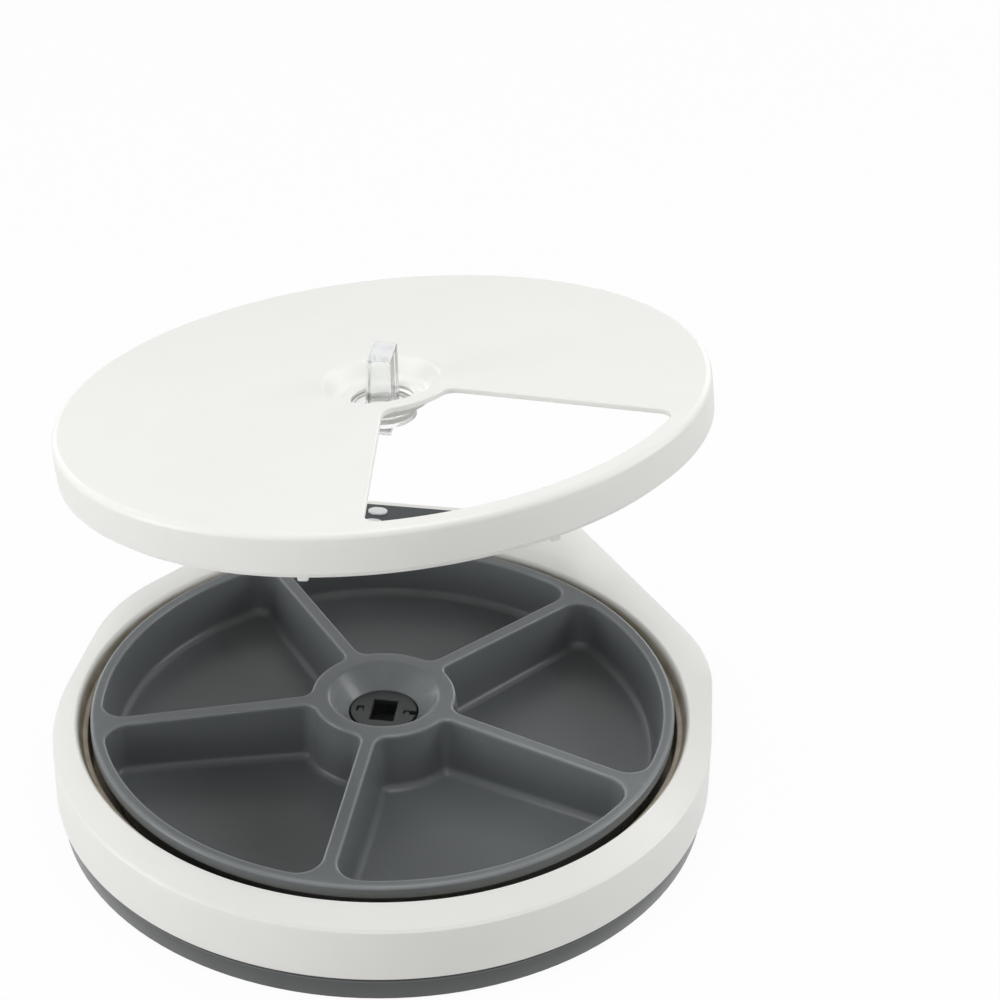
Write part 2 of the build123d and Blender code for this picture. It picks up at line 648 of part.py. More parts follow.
def make_lock_plate():
    face = Circle(LOCK_R) - Rectangle(KEYHOLE_X, KEYHOLE_Y) - lock_plate_notches(0)
    plate = extrude(Pos(0, 0, LOCK_BOTTOM) * face, amount=LOCK_T, dir=(0, 0, 1))
    return chamfer(plate.faces().sort_by(Axis.Z)[-1].edges(), LOCK_EDGE)


def make_post():
    post = disc(POST_R, PLATE_TOP, LOCK_BOTTOM) + disc(POST_BASE_R, PLATE_TOP, PLATE_TOP + POST_BASE_H)
    post = post - disc(KEY_R, LOCK_BOTTOM - KEY_ROOM, LOCK_BOTTOM)
    tongues = lock_plate_notches(TONGUE_GAP) & Circle(POST_R)
    tongue_foot = Pos(0, 0, LOCK_BOTTOM - LOCK_T) * tongues
    post = post + extrude(tongue_foot, amount=2 * LOCK_T - TONGUE_DROP, dir=(0, 0, 1))
    for x, y in post_screw_places():
        post = post - disc(SCREW_R + SCREW_HOLE_GAP, PLATE_TOP, PLATE_TOP + SCREW_REACH, x, y)
    return post


def make_drive_hub():
    face = gear_face(HUB_TEETH, TRAY_ANGLE) - Circle(SLEEVE_IN)
    hub = extrude(Pos(0, 0, HUB_BOTTOM) * face, amount=GEAR_T, dir=(0, 0, 1))
    hub = hub + ring(SLEEVE_IN, SLEEVE_OUT, HUB_BOTTOM, LOCK_BOTTOM - SLEEVE_TOP_GAP)
    reach = DOG_OUT - SLEEVE_OUT + SLEEVE_T / 2
    dog = block(reach, DOG_T, DOG_TOP - DOG_H, DOG_TOP, DOG_OUT - reach / 2, 0)
    for n in range(MEALS):
        hub = hub + Rot(0, 0, TRAY_ANGLE + (n + 0.5) * TRAY_STEP) * dog
        x, y = polar(MAGNET_SPREAD, TRAY_ANGLE + n * TRAY_STEP)
        hub = hub - disc(MAGNET_R, HUB_BOTTOM, HUB_BOTTOM + MAGNET_T, x, y)
    return hub


def make_magnets():
    magnets = []
    for n in range(MEALS):
        x, y = polar(MAGNET_SPREAD, TRAY_ANGLE + n * TRAY_STEP)
        magnets.append(disc(MAGNET_R, HUB_BOTTOM, HUB_BOTTOM + MAGNET_T, x, y))
    return magnets


def make_bush():
    bore = SLEEVE_OUT + RUN_GAP
    sleeve = ring(bore, bore + BUSH_T, TUB_FLOOR_Z - TUB_T, TUB_FLOOR_Z + BUSH_FLANGE_T)
    return sleeve + ring(bore, bore + BUSH_T + BUSH_FLANGE, TUB_FLOOR_Z, TUB_FLOOR_Z + BUSH_FLANGE_T)


SMALL_PHASE = meshed_phase(GEAR_ANGLE, TRAY_ANGLE, HUB_TEETH, SMALL_TEETH)
PINION_PHASE = meshed_phase(GEAR_ANGLE, GEAR_ANGLE, BIG_TEETH, PINION_TEETH)


def make_reduction_gear():
    bore = Circle(PIN_R + PIN_GAP)
    low = HUB_BOTTOM + RUN_GAP
    small_face = gear_face(SMALL_TEETH, SMALL_PHASE) - bore
    small = extrude(Pos(0, 0, low) * small_face, amount=BIG_GEAR_Z - low, dir=(0, 0, 1))
    big_face = gear_face(BIG_TEETH, GEAR_ANGLE) - bore
    big = extrude(Pos(0, 0, BIG_GEAR_Z) * big_face, amount=GEAR_T, dir=(0, 0, 1))
    x, y = polar(IDLER_REACH, GEAR_ANGLE)
    return Pos(x, y, 0) * (small + big)


def make_gear_pin():
    x, y = polar(IDLER_REACH, GEAR_ANGLE)
    return disc(PIN_R, PLATE_TOP - PIN_SINK, BIG_GEAR_Z + GEAR_T + RUN_GAP, x, y)


def make_pinion():
    low = MOTOR_TOP + RUN_GAP
    x, y = polar(MOTOR_REACH, GEAR_ANGLE)
    face = gear_face(PINION_TEETH, PINION_PHASE)
    pinion = extrude(Pos(0, 0, BIG_GEAR_Z) * face, amount=GEAR_T, dir=(0, 0, 1))
    return Pos(x, y, 0) * (pinion + disc(SHAFT_COLLAR_R, low, BIG_GEAR_Z))


def motor_screw_places():
    x, y = polar(MOTOR_REACH, GEAR_ANGLE)
    return [(x + side * MOTOR_EAR_R, y) for side in (-1, 1)]


def make_motor():
    x, y = polar(MOTOR_REACH, GEAR_ANGLE)
    can = disc(MOTOR_R, PLATE_TOP, MOTOR_TOP, x, y)
    can = fillet(can.edges().sort_by(Axis.Z)[-1], MOTOR_EDGE)
    ear = SlotOverall(2 * MOTOR_EAR_R + MOTOR_EAR_W, MOTOR_EAR_W)
    ears = extrude(Pos(x, y, PLATE_TOP) * ear, amount=MOTOR_EAR_T, dir=(0, 0, 1))
    motor = can + ears
    for px, py in motor_screw_places():
        motor = motor - disc(SMALL_SCREW_R + SCREW_HOLE_GAP, PLATE_TOP, MOTOR_TOP, px, py)
    return motor


def make_motor_screws():
    low = PLATE_TOP + MOTOR_EAR_T
    screws = []
    for x, y in motor_screw_places():
        head = disc(SMALL_HEAD_R, low, low + SMALL_HEAD_T, x, y)
        screws.append(head + disc(SMALL_SCREW_R, PLATE_TOP - MOTOR_SCREW_BITE, low, x, y))
    return screws


def make_sensor_board():
    x, y = polar(MAGNET_SPREAD, SENSOR_ANGLE)
    board = block(SENSOR_L, SENSOR_W, PLATE_TOP, PLATE_TOP + BOARD_T, x, y)
    return board + block(CHIP_L, CHIP_W, PLATE_TOP + BOARD_T, PLATE_TOP + BOARD_T + CHIP_T, x, y)


def make_glides():
    pads = []
    for n in range(GLIDES):
        x, y = polar(GLIDE_SPREAD, 360.0 * n / GLIDES)
        pads.append(disc(GLIDE_R, TUB_FLOOR_Z, TRAY_BOTTOM - RUN_GAP, x, y))
    return pads


# Lid and its pull handle, drawn closed and then carried to where the hand holds them

def crown_height(radius):
    """The lid's top surface: a shallow cone that rises from its edge to the finger well."""
    edge = LID_R - LID_EDGE_ROUND
    return SEAT_Z + LID_CROWN * (edge - radius) / (edge - WINDOW_IN_R)


def make_lid_closed():
    edge = LID_R - LID_EDGE_ROUND
    bottom = SEAT_Z - LID_EDGE_H
    lip_out = RIM_R - LID_LIP_GAP - WELL_LEAN * LID_LIP_H / (RIM_Z - LEDGE_Z)
    well_out = WELL_R + WELL_WALL
    lid = spun([
        (WELL_R, WELL_FLOOR_Z, WELL_FOOT_ROUND), (WELL_R, crown_height(WELL_R), WELL_ROUND),
        (LID_R, crown_height(LID_R), LID_EDGE_ROUND), (LID_R, bottom),
        (LID_R - SKIRT_T, bottom), (LID_R - SKIRT_T, bottom + SKIRT_T), (lip_out, bottom + SKIRT_T),
        (lip_out, bottom - LID_LIP_H), (lip_out - LID_LIP_T, bottom - LID_LIP_H),
        (lip_out - LID_LIP_T, crown_height(lip_out) - LID_T),
        (well_out, crown_height(well_out) - LID_T), (well_out, WELL_FLOOR_Z - WELL_FLOOR_T),
        (BAR_HOLE_R, WELL_FLOOR_Z - WELL_FLOOR_T), (BAR_HOLE_R, WELL_FLOOR_Z),
    ])
    # A rim of extra depth round the window, then the window itself
    half = TRAY_STEP / 2
    rim = wedge(half, WINDOW_INSET - WINDOW_RIM_T, WINDOW_IN_R - WINDOW_RIM_T, WINDOW_OUT_R + WINDOW_RIM_T,
                WINDOW_ROUND + WINDOW_RIM_T, WINDOW_ROUND + WINDOW_RIM_T)
    crown_slice = spun([
        (WELL_R, crown_height(WELL_R) - WINDOW_RIM_H), (edge, SEAT_Z - WINDOW_RIM_H),
        (edge, SEAT_Z - LID_T / 2), (WELL_R, crown_height(WELL_R) - LID_T / 2),
    ])
    room = LID_EDGE_H + LID_CROWN
    rim_solid = extrude(Pos(0, 0, SEAT_Z - room) * rim, amount=2 * room, dir=(0, 0, 1))
    lid = lid + (Rot(0, 0, SERVE_ANGLE) * rim_solid & crown_slice)
    window = wedge(half, WINDOW_INSET, WINDOW_IN_R, WINDOW_OUT_R, WINDOW_ROUND, WINDOW_ROUND)
    window_solid = extrude(Pos(0, 0, SEAT_Z - room) * window, amount=2 * room, dir=(0, 0, 1))
    lid = lid - Rot(0, 0, SERVE_ANGLE) * window_solid
    # Small pips on the lip
    for angle in PIP_ANGLES:
        lip_foot = bottom - LID_LIP_H
        pip = block(LID_LIP_T, PIP_SIZE, lip_foot - PIP_H, lip_foot, lip_out - LID_LIP_T / 2, 0)
        lid = lid + Rot(0, 0, angle) * pip
    return lid


def tilt_axis():
    """The level line that the lid tips about as it leaves the base."""
    x, y = polar(TILT_REACH, TILT_TOWARDS + 180)
    low = WELL_FLOOR_Z - WELL_FLOOR_T / 2 - TILT_REACH * math.tan(HANG_TILT / 2)
    dx, dy = polar(1.0, TILT_TOWARDS + 90)
    return Axis((x, y, low), (dx, dy, 0))


def make_lid():
    return Pos(0, 0, LIFT) * make_lid_closed().rotate(tilt_axis(), TILT)


def make_handle():
    top = FLANGE_Z + FLANGE_T
    bar = extrude(Pos(0, 0, top - FLANGE_T / 2) * RectangleRounded(BAR_X, BAR_Y, BAR_ROUND),
                  amount=BAR_H + FLANGE_T / 2, dir=(0, 0, 1), taper=BAR_TAPER)
    bar = fillet(bar.faces().sort_by(Axis.Z)[-1].edges(), BAR_ROUND / 2)
    handle = bar + disc(FLANGE_R, FLANGE_Z, top)
    shank_r = KEYHOLE_X / 2 - SHANK_GAP
    key_top = LOCK_BOTTOM - 2 * RUN_GAP
    handle = handle + disc(shank_r, key_top - KEY_T, FLANGE_Z)
    key = RectangleRounded(KEYHOLE_X - 2 * KEY_GAP, KEYHOLE_Y - 2 * KEY_GAP, KEY_GAP)
    handle = handle + extrude(Pos(0, 0, key_top - KEY_T) * key, amount=KEY_T, dir=(0, 0, 1))
    return Pos(0, 0, LIFT) * handle


def make_washer():
    return Pos(0, 0, LIFT) * ring(WASHER_IN_R, WASHER_OUT_R, WASHER_Z, WASHER_Z + WASHER_T)


# Control deck

def fascia_outline(grow):
    """The dark panel from above: a front edge that follows the lid and a straight rear edge."""
    front_r = FASCIA_FRONT_R - grow
    half_front = FASCIA_HALF_FRONT + grow
    half_rear = FASCIA_HALF_REAR + grow
    front_y = along_deck(math.sqrt(front_r ** 2 - half_front ** 2))
    rear_y = along_deck(FASCIA_REAR_Y + grow)
    face = make_face([
        ThreePointArc((-half_front, front_y), (0, along_deck(front_r)), (half_front, front_y)),
        Polyline((half_front, front_y), (half_rear, rear_y), (-half_rear, rear_y), (-half_front, front_y)),
    ])
    return fillet(face.vertices(), FASCIA_ROUND)


def button_places():
    return [(side * BUTTON_X, y) for side in (-1, 1) for y in BUTTON_YS]


def lens_outline(grow):
    return Pos(0, along_deck(LENS_Y)) * RectangleRounded(LENS_W + 2 * grow, LENS_D + 2 * grow, LENS_ROUND)


def make_fascia():
    face = fascia_outline(0) - lens_outline(LENS_GAP)
    for x, y in button_places():
        face = face - oval(BUTTON_W + 2 * BUTTON_GAP, BUTTON_D + 2 * BUTTON_GAP, x, y)
    fascia = on_deck(face, FASCIA_PROUD - FASCIA_T, FASCIA_PROUD)
    return fascia


def make_button(x, y):
    top = FASCIA_PROUD + BUTTON_PROUD
    flange_top = FASCIA_PROUD - FASCIA_T - BUTTON_GAP
    cap = extrude(oval(BUTTON_W, BUTTON_D, x, y), amount=top - flange_top, dir=(0, 0, 1))
    cap = fillet(cap.faces().sort_by(Axis.Z)[-1].edges(), BUTTON_EDGE_ROUND)
    flange = oval(BUTTON_W + 2 * BUTTON_FLANGE, BUTTON_D + 2 * BUTTON_FLANGE, x, y)
    return DECK * Pos(0, 0, flange_top) * (cap + extrude(flange, amount=-BUTTON_FLANGE_T, dir=(0, 0, 1)))


def make_switches():
    switches = []
    for x, y in button_places():
        face = Pos(x, along_deck(y)) * Rectangle(SWITCH_SIZE, SWITCH_SIZE)
        switches.append(on_deck(face, -BOARD_DEPTH, -BOARD_DEPTH + SWITCH_H))
    return switches


def make_lens():
    return on_deck(lens_outline(0), FASCIA_PROUD - FASCIA_T, FASCIA_PROUD - LENS_PROUD)


def make_display():
    face = Pos(0, along_deck(LENS_Y)) * Rectangle(LENS_W + 2 * DISPLAY_MARGIN, LENS_D + 2 * DISPLAY_MARGIN)
    return on_deck(face, -BOARD_DEPTH, FASCIA_PROUD - FASCIA_T - DISPLAY_GAP)


def make_board():
    middle = along_deck((BOARD_FRONT + BOARD_REAR) / 2)
    face = Pos(0, middle) * Rectangle(2 * BOARD_HALF, along_deck(BOARD_REAR) - along_deck(BOARD_FRONT))
    for x, y in board_posts():
        face = face - Pos(x, along_deck(y)) * Circle(SMALL_SCREW_R + SCREW_HOLE_GAP)
    return on_deck(face, -BOARD_DEPTH - BOARD_T, -BOARD_DEPTH)


def make_board_screws():
    low = -BOARD_DEPTH - BOARD_T - SMALL_HEAD_T
    screws = []
    for x, y in board_posts():
        head = on_deck(Pos(x, along_deck(y)) * Circle(SMALL_HEAD_R), low, low + SMALL_HEAD_T)
        shank = on_deck(Pos(x, along_deck(y)) * Circle(SMALL_SCREW_R), low, low + SMALL_HEAD_T + SMALL_REACH)
        screws.append(head + shank)
    return screws


# Batteries

def make_battery_box():
    length = 2 * ROW_HALF
    width = 2 * (CELL_R + CELL_GAP)
    outer = block(length + 2 * BOX_WALL, width + 2 * BOX_WALL, PLATE_TOP, BOX_TOP + BOX_WALL, 0, CELL_Y)
    return outer - block(length, width, PLATE_TOP, BOX_TOP, 0, CELL_Y)


def make_cells():
    cells = []
    first = -ROW_HALF + CONTACT_BACK + CELL_GAP / 2
    for n in range(CELLS):
        can = Cylinder(CELL_R, CELL_L - CELL_NUB_L, align=(Align.CENTER, Align.CENTER, Align.MIN))
        nub = Cylinder(CELL_NUB_R, CELL_L, align=(Align.CENTER, Align.CENTER, Align.MIN))
        start = first + n * (CELL_L + CELL_GAP / 2)
        cells.append(Pos(start, CELL_Y, PLATE_TOP + CELL_R + CELL_GAP) * Rot(0, 90, 0) * (can + nub))
    return cells


def make_contacts():
    plates = []
    for side in (-1, 1):
        low = PLATE_TOP + CELL_R / 2
        high = BOX_TOP - CELL_R / 2
        x = side * (ROW_HALF - CONTACT_T / 2)
        plate = block(CONTACT_T, CELL_R, low, high, x, CELL_Y)
        bump_l = CONTACT_BACK - CONTACT_T
        bump = block(bump_l, CELL_R / 2, low, high, side * (ROW_HALF - CONTACT_T - bump_l / 2), CELL_Y)
        plates.append(plate + bump)
    return plates


def make_door():
    length, width = door_size()
    door = block(length, width, FOOT_H, FOOT_H + DOOR_T, 0, CELL_Y)
    x, y = door_screw_place()
    return door - disc(SMALL_SCREW_R + SCREW_HOLE_GAP, FOOT_H, FOOT_H + DOOR_T, x, y)


def make_door_screw():
    x, y = door_screw_place()
    return screw(x, y, FOOT_H - SMALL_HEAD_T, PLATE_T, SMALL_SCREW_R, SMALL_HEAD_R, SMALL_HEAD_T)


def make_case_screws():
    return [screw(x, y, FOOT_H, PLATE_T - SCREW_HEAD_T + SCREW_REACH, SCREW_R, SCREW_HEAD_R, SCREW_HEAD_T)
            for x, y in case_screw_places()]


def make_post_screws():
    return [screw(x, y, FOOT_H, PLATE_T - SCREW_HEAD_T + SCREW_REACH, SCREW_R, SCREW_HEAD_R, SCREW_HEAD_T)
            for x, y in post_screw_places()]


# Every node by name, written to its own file

def main():
    nodes = {
        "lid_shell": make_lid(),
        "lock_handle": make_handle(),
        "slip_washer": make_washer(),
        "food_tray": make_tray(),
        "lock_plate": make_lock_plate(),
        "centre_post": make_post(),
        "drive_hub": make_drive_hub(),
        "index_magnets": make_magnets(),
        "hub_bush": make_bush(),
        "reduction_gear": make_reduction_gear(),
        "gear_pin": make_gear_pin(),
        "motor_pinion": make_pinion(),
        "motor": make_motor(),
        "motor_screws": make_motor_screws(),
        "sensor_board": make_sensor_board(),
        "tray_glides": make_glides(),
        "base_shell": make_base_shell(),
        "base_plate": make_base_plate(),
        "rubber_feet": make_feet(),
        "control_fascia": make_fascia(),
        "lcd_lens": make_lens(),
        "lcd_module": make_display(),
        "circuit_board": make_board(),
        "tact_switches": make_switches(),
        "board_screws": make_board_screws(),
        "battery_box": make_battery_box(),
        "battery_cells": make_cells(),
        "battery_contacts": make_contacts(),
        "battery_door": make_door(),
        "door_screw": make_door_screw(),
        "case_screws": make_case_screws(),
        "post_screws": make_post_screws(),
    }
    for number, (x, y) in enumerate(button_places(), start=1):
        nodes[f"button_{number}"] = make_button(x, y)
    # The origin moves to the middle of the base's length
    to_middle = Pos(0, (BASE_R - REAR_OUT) / 2, 0)
    for name, shape in nodes.items():
        solids = shape if isinstance(shape, list) else [shape]
        pieces = [to_middle * solid for item in solids for solid in item.solids()]
        export_step(pieces[0] if len(pieces) == 1 else Compound(children=pieces), f"parts/{name}.step")
        print(name, len(pieces), "solids", round(sum(piece.volume for piece in pieces)), "mm3")


main()
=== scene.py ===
# %% [markdown]
# # A timed meal feeder with its lid held open
# The real object is a round white base with a dark control panel behind, a grey tray of five
# compartments that a motor turns, and a lid with one wedge-shaped window. The lid is shown lifted
# and slightly tilted, hanging on its clear pull handle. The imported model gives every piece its
# place. This lesson rebuilds the large mouldings as smooth surfaces and gives every piece a finish.

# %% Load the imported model
import json
import math

import bmesh
import bpy
import numpy as np
from mathutils import Matrix, Vector


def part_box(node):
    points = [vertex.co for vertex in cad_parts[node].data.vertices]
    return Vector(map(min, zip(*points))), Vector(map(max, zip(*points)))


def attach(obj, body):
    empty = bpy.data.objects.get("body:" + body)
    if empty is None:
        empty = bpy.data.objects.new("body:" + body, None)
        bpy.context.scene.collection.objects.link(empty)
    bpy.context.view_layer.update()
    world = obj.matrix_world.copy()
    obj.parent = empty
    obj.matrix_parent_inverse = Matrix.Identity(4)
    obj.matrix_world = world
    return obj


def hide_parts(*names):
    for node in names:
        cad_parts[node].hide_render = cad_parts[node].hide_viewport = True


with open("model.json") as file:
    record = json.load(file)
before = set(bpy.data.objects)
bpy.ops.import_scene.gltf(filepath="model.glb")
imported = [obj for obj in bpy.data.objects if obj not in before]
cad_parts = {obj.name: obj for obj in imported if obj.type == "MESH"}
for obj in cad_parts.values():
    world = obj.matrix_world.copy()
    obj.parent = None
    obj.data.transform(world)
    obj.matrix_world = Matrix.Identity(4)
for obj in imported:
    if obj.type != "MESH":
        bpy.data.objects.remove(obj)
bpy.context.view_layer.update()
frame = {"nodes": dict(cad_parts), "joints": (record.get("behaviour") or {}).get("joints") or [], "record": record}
nodes = frame["nodes"]
joints = {joint["name"]: joint for joint in frame["joints"]}
scene = bpy.context.scene
MM = 0.001
AXIS_Y = joints["tray_turn"]["pos_m"][1] / MM

# %% [markdown]
# ## Camera
# A camera is a place, a direction and a lens. It could be moved by hand until the picture looks
# right. Here its numbers come from fitting the circles of the base, the tray and the lid to a
# square picture, because that fit also gives the proportions of every piece.

# %% Camera
CAMERA_PLACE = Vector((0.1789, -1.0888, 0.8304))
CAMERA_FORWARD = Vector((-0.0983, 0.8472, -0.5221)).normalized()
CAMERA_ROLL = math.radians(1.2)
CAMERA_LENS_MM = 98.4
CAMERA_SENSOR_MM = 36.0


def add_camera():
    """Right and up are turned about the viewing direction by the roll and set as matrix columns."""
    level_right = CAMERA_FORWARD.cross(Vector((0, 0, 1))).normalized()
    level_up = level_right.cross(CAMERA_FORWARD)
    right = math.cos(CAMERA_ROLL) * level_right + math.sin(CAMERA_ROLL) * level_up
    up = math.cos(CAMERA_ROLL) * level_up - math.sin(CAMERA_ROLL) * level_right
    data = bpy.data.cameras.new("picture_camera")
    data.lens = CAMERA_LENS_MM
    data.sensor_width = CAMERA_SENSOR_MM
    camera = bpy.data.objects.new("picture_camera", data)
    scene.collection.objects.link(camera)
    turn = Matrix((right, up, -CAMERA_FORWARD)).transposed().to_4x4()
    camera.matrix_world = Matrix.Translation(CAMERA_PLACE) @ turn
    bpy.context.scene.camera = camera
    return camera


print("camera at", [round(v, 3) for v in add_camera().location])

# %% [markdown]
# ## Shader maths as expressions
# A finish is colour, gloss and texture that change over a surface: in Blender, a tree of nodes.
# They could be linked by hand, but then the formula is lost among the links. Here `Value` wraps an
# output socket, and each operator adds a Math node, so `0.4 + 0.1 * grain` builds its own nodes.
# `NodeTree` makes any other node from its type, its settings and its sockets' values or links.

# %% Values and node trees
class Value:
    """A node's output. An operator on it adds a Math node and gives the output of that."""

    def __init__(self, owner, socket):
        self.owner = owner
        self.socket = socket

    def math(self, operation, first, second):
        """A Math node on two numbers or outputs."""
        return self.owner.node("ShaderNodeMath", {"operation": operation}, {0: first, 1: second})

    def __add__(self, other):
        return self.math("ADD", self, other)

    def __mul__(self, other):
        return self.math("MULTIPLY", self, other)

    def __sub__(self, other):
        return self.math("SUBTRACT", self, other)

    def __rsub__(self, other):
        return self.math("SUBTRACT", other, self)

    def __pow__(self, other):
        return self.math("POWER", self, other)

    __radd__ = __add__
    __rmul__ = __mul__


class NodeTree:
    """The node tree of a world or a material."""

    def __init__(self, tree):
        self.tree = tree

    def node(self, kind, settings=None, inputs=None, output=0):
        """A new node: its settings are set first, then its sockets get values or links."""
        made = self.tree.nodes.new(kind)
        for key, value in (settings or {}).items():
            setattr(made, key, value)
        for key, value in (inputs or {}).items():
            if isinstance(value, Value):
                self.tree.links.new(value.socket, made.inputs[key])
            else:
                made.inputs[key].default_value = value
        return Value(self, made.outputs[output]) if made.outputs else None


print("operators that add nodes: + - * **")

# %% [markdown]
# ## White studio
# The picture was taken in a white studio. A backdrop could be lit until it is white, but that light
# would also wash out the object. Here the white is a colour that only camera, mirror and glass rays
# see, so it adds no light, while a dim world and six large soft lamps light the object at a plain
# level. The floor mixes that white with a lit surface, which keeps a faint shadow.

# %% Background and floor
scene.view_settings.view_transform = "Standard"
PURE_WHITE = (1.0, 1.0, 1.0, 1.0)
WORLD_LIGHT = 0.19
FLOOR_GREY = (0.82, 0.82, 0.82, 1.0)
FLOOR_KEEPS_SHADE = 0.04
FLOOR_HALF = 6.0


def emptied(owner):
    """The node tree of a world or a material, without the nodes that it starts with."""
    owner.use_nodes = True
    owner.node_tree.nodes.clear()
    return NodeTree(owner.node_tree)


def seen_directly(tree):
    """1 for rays from the camera, a mirror or glass, and 0 for rays that light surfaces."""
    seen = tree.node("ShaderNodeLightPath", output="Is Camera Ray")
    for ray in ("Is Glossy Ray", "Is Transmission Ray"):
        seen = seen.math("MAXIMUM", seen, tree.node("ShaderNodeLightPath", output=ray))
    return seen


def add_world():
    """A dim light, and full white for the rays that see the background directly."""
    scene.world = bpy.data.worlds.new("white_studio")
    tree = emptied(scene.world)
    lit = tree.node("ShaderNodeBackground", None, {"Color": PURE_WHITE, "Strength": WORLD_LIGHT})
    white = tree.node("ShaderNodeBackground", None, {"Color": PURE_WHITE, "Strength": 1.0})
    mixed = tree.node("ShaderNodeMixShader", None, {0: seen_directly(tree), 1: lit, 2: white})
    tree.node("ShaderNodeOutputWorld", None, {0: mixed})


def add_floor():
    """A large square under the feet: lit grey, mostly replaced by white where it is seen."""
    corners = FLOOR_HALF * np.array([(-1, -1, 0), (1, -1, 0), (1, 1, 0), (-1, 1, 0)])
    mesh = bpy.data.meshes.new("floor")
    mesh.from_pydata(corners.tolist(), [], [(0, 1, 2, 3)])
    material = bpy.data.materials.new("pale_floor")
    tree = emptied(material)
    shade = tree.node("ShaderNodeBsdfDiffuse", None, {"Color": FLOOR_GREY})
    white = tree.node("ShaderNodeEmission", None, {"Color": PURE_WHITE})
    share = (1.0 - FLOOR_KEEPS_SHADE) * seen_directly(tree)
    mixed = tree.node("ShaderNodeMixShader", None, {0: share, 1: shade, 2: white})
    tree.node("ShaderNodeOutputMaterial", None, {0: mixed})
    mesh.materials.append(material)
    floor = bpy.data.objects.new("floor", mesh)
    scene.collection.objects.link(floor)


add_world()
add_floor()
print("world light:", WORLD_LIGHT, "floor grey:", FLOOR_GREY[0])

# %% Lamps
LAMPS = {
    # name: place in metres, size in metres, power in watts
    "overhead_softbox": ((-0.05, -0.25, 1.9), 1.0, 19.4),
    "left_softbox": ((-1.6, -0.7, 0.45), 0.7, 11.0),
    "right_softbox": ((1.5, 0.35, 0.75), 0.7, 7.7),
    "rear_left_softbox": ((-1.3, 1.3, 0.6), 0.7, 3.6),
    "rear_right_softbox": ((0.6, 1.8, 0.55), 0.7, 3.9),
    "front_softbox": ((0.3, -1.8, 0.58), 0.8, 3.6),
}
AIM = Vector((0.0, -0.02, 0.1))


def add_lamp(name, place, size, power):
    """A square softbox whose front is turned towards the middle of the object."""
    data = bpy.data.lights.new(name, "AREA")
    data.size = size
    data.energy = power
    lamp = bpy.data.objects.new(name, data)
    lamp.location = place
    lamp.rotation_euler = (AIM - Vector(place)).to_track_quat("-Z", "Y").to_euler()
    scene.collection.objects.link(lamp)


for name, (place, size, power) in LAMPS.items():
    add_lamp(name, place, size, power)
print("lamps:", ", ".join(LAMPS))

# %% [markdown]
# ## Moulded plastics
# Every moulding has a fine texture from its steel mould, a gloss that is uneven from cooling, and a
# little wear. That could be a picture wrapped round each piece, but it would stretch on curved
# walls. Noise that reads a point's place in metres fits any shape at its true scale.

# %% Finishes as formulas
class Finish(NodeTree):
    """A material. Numbers that are the same all over are set on the shader's own sockets."""

    def __init__(self, name, **fixed):
        self.material = bpy.data.materials.new(name)
        self.material.use_nodes = True
        super().__init__(self.material.node_tree)
        self.shader = self.tree.nodes["Principled BSDF"]
        for socket, value in fixed.items():
            self.shader.inputs[socket.replace("_", " ")].default_value = value

    def place(self):
        """Where a point lies on the object, in metres."""
        return self.node("ShaderNodeTexCoord", output="Object")

    def along(self, axis):
        """A point's place along one axis, named X, Y or Z."""
        return self.node("ShaderNodeSeparateXYZ", None, {0: self.place()}, output=axis)

    def radius(self):
        """A point's distance from the tray's axis."""
        x, y = self.along("X"), self.along("Y") - AXIS_Y * MM
        return (x * x + y * y) ** 0.5

    def wear_and_highlight(self):
        """How sharply the surface turns outwards, from 0 to 1, which make_piece stores. It makes edges
        smoother as wear, and on the tray it also places painted highlights.
        """
        return self.node("ShaderNodeAttribute", {"attribute_name": "wear_and_highlight"}, output="Fac")

    def noise(self, scale, detail=3.0, roughness=0.55, where=None):
        """Soft random spots, scale of them to a metre."""
        inputs = {"Vector": where or self.place(), "Scale": scale, "Detail": detail}
        return self.node("ShaderNodeTexNoise", None, {**inputs, "Roughness": roughness})

    def mix(self, share, low, high):
        """A colour between two colours."""
        colours = {"Factor": share, 6: low, 7: high}
        return self.node("ShaderNodeMix", {"data_type": "RGBA"}, colours, output=2)

    def ramp(self, value, start, stop):
        """0 where value is at start, 1 where it is at stop, a smooth S between, in either order."""
        ends = {"Value": value, "From Min": start, "From Max": stop}
        return self.node("ShaderNodeMapRange", {"interpolation_type": "SMOOTHSTEP"}, ends)

    def bump(self, height, strength, depth):
        """Surface directions tilted as if height raised the surface by up to depth, in metres."""
        inputs = {"Height": height, "Strength": strength, "Distance": depth}
        return self.node("ShaderNodeBump", None, inputs)

    def set(self, **varying):
        """Links what changes over the surface to the shader and gives the finished material."""
        for socket, value in varying.items():
            self.tree.links.new(value.socket, self.shader.inputs[socket.replace("_", " ")])
        return self.material


def tint(colour, factor):
    """A colour made lighter or darker by a factor, with its alpha left at 1."""
    return tuple(min(1.0, channel * factor) for channel in colour[:3]) + (1.0,)


print("tint of a mid grey:", tint((0.5, 0.5, 0.5), 1.1))

# %% Moulded plastic
PLASTIC_IOR = 1.48


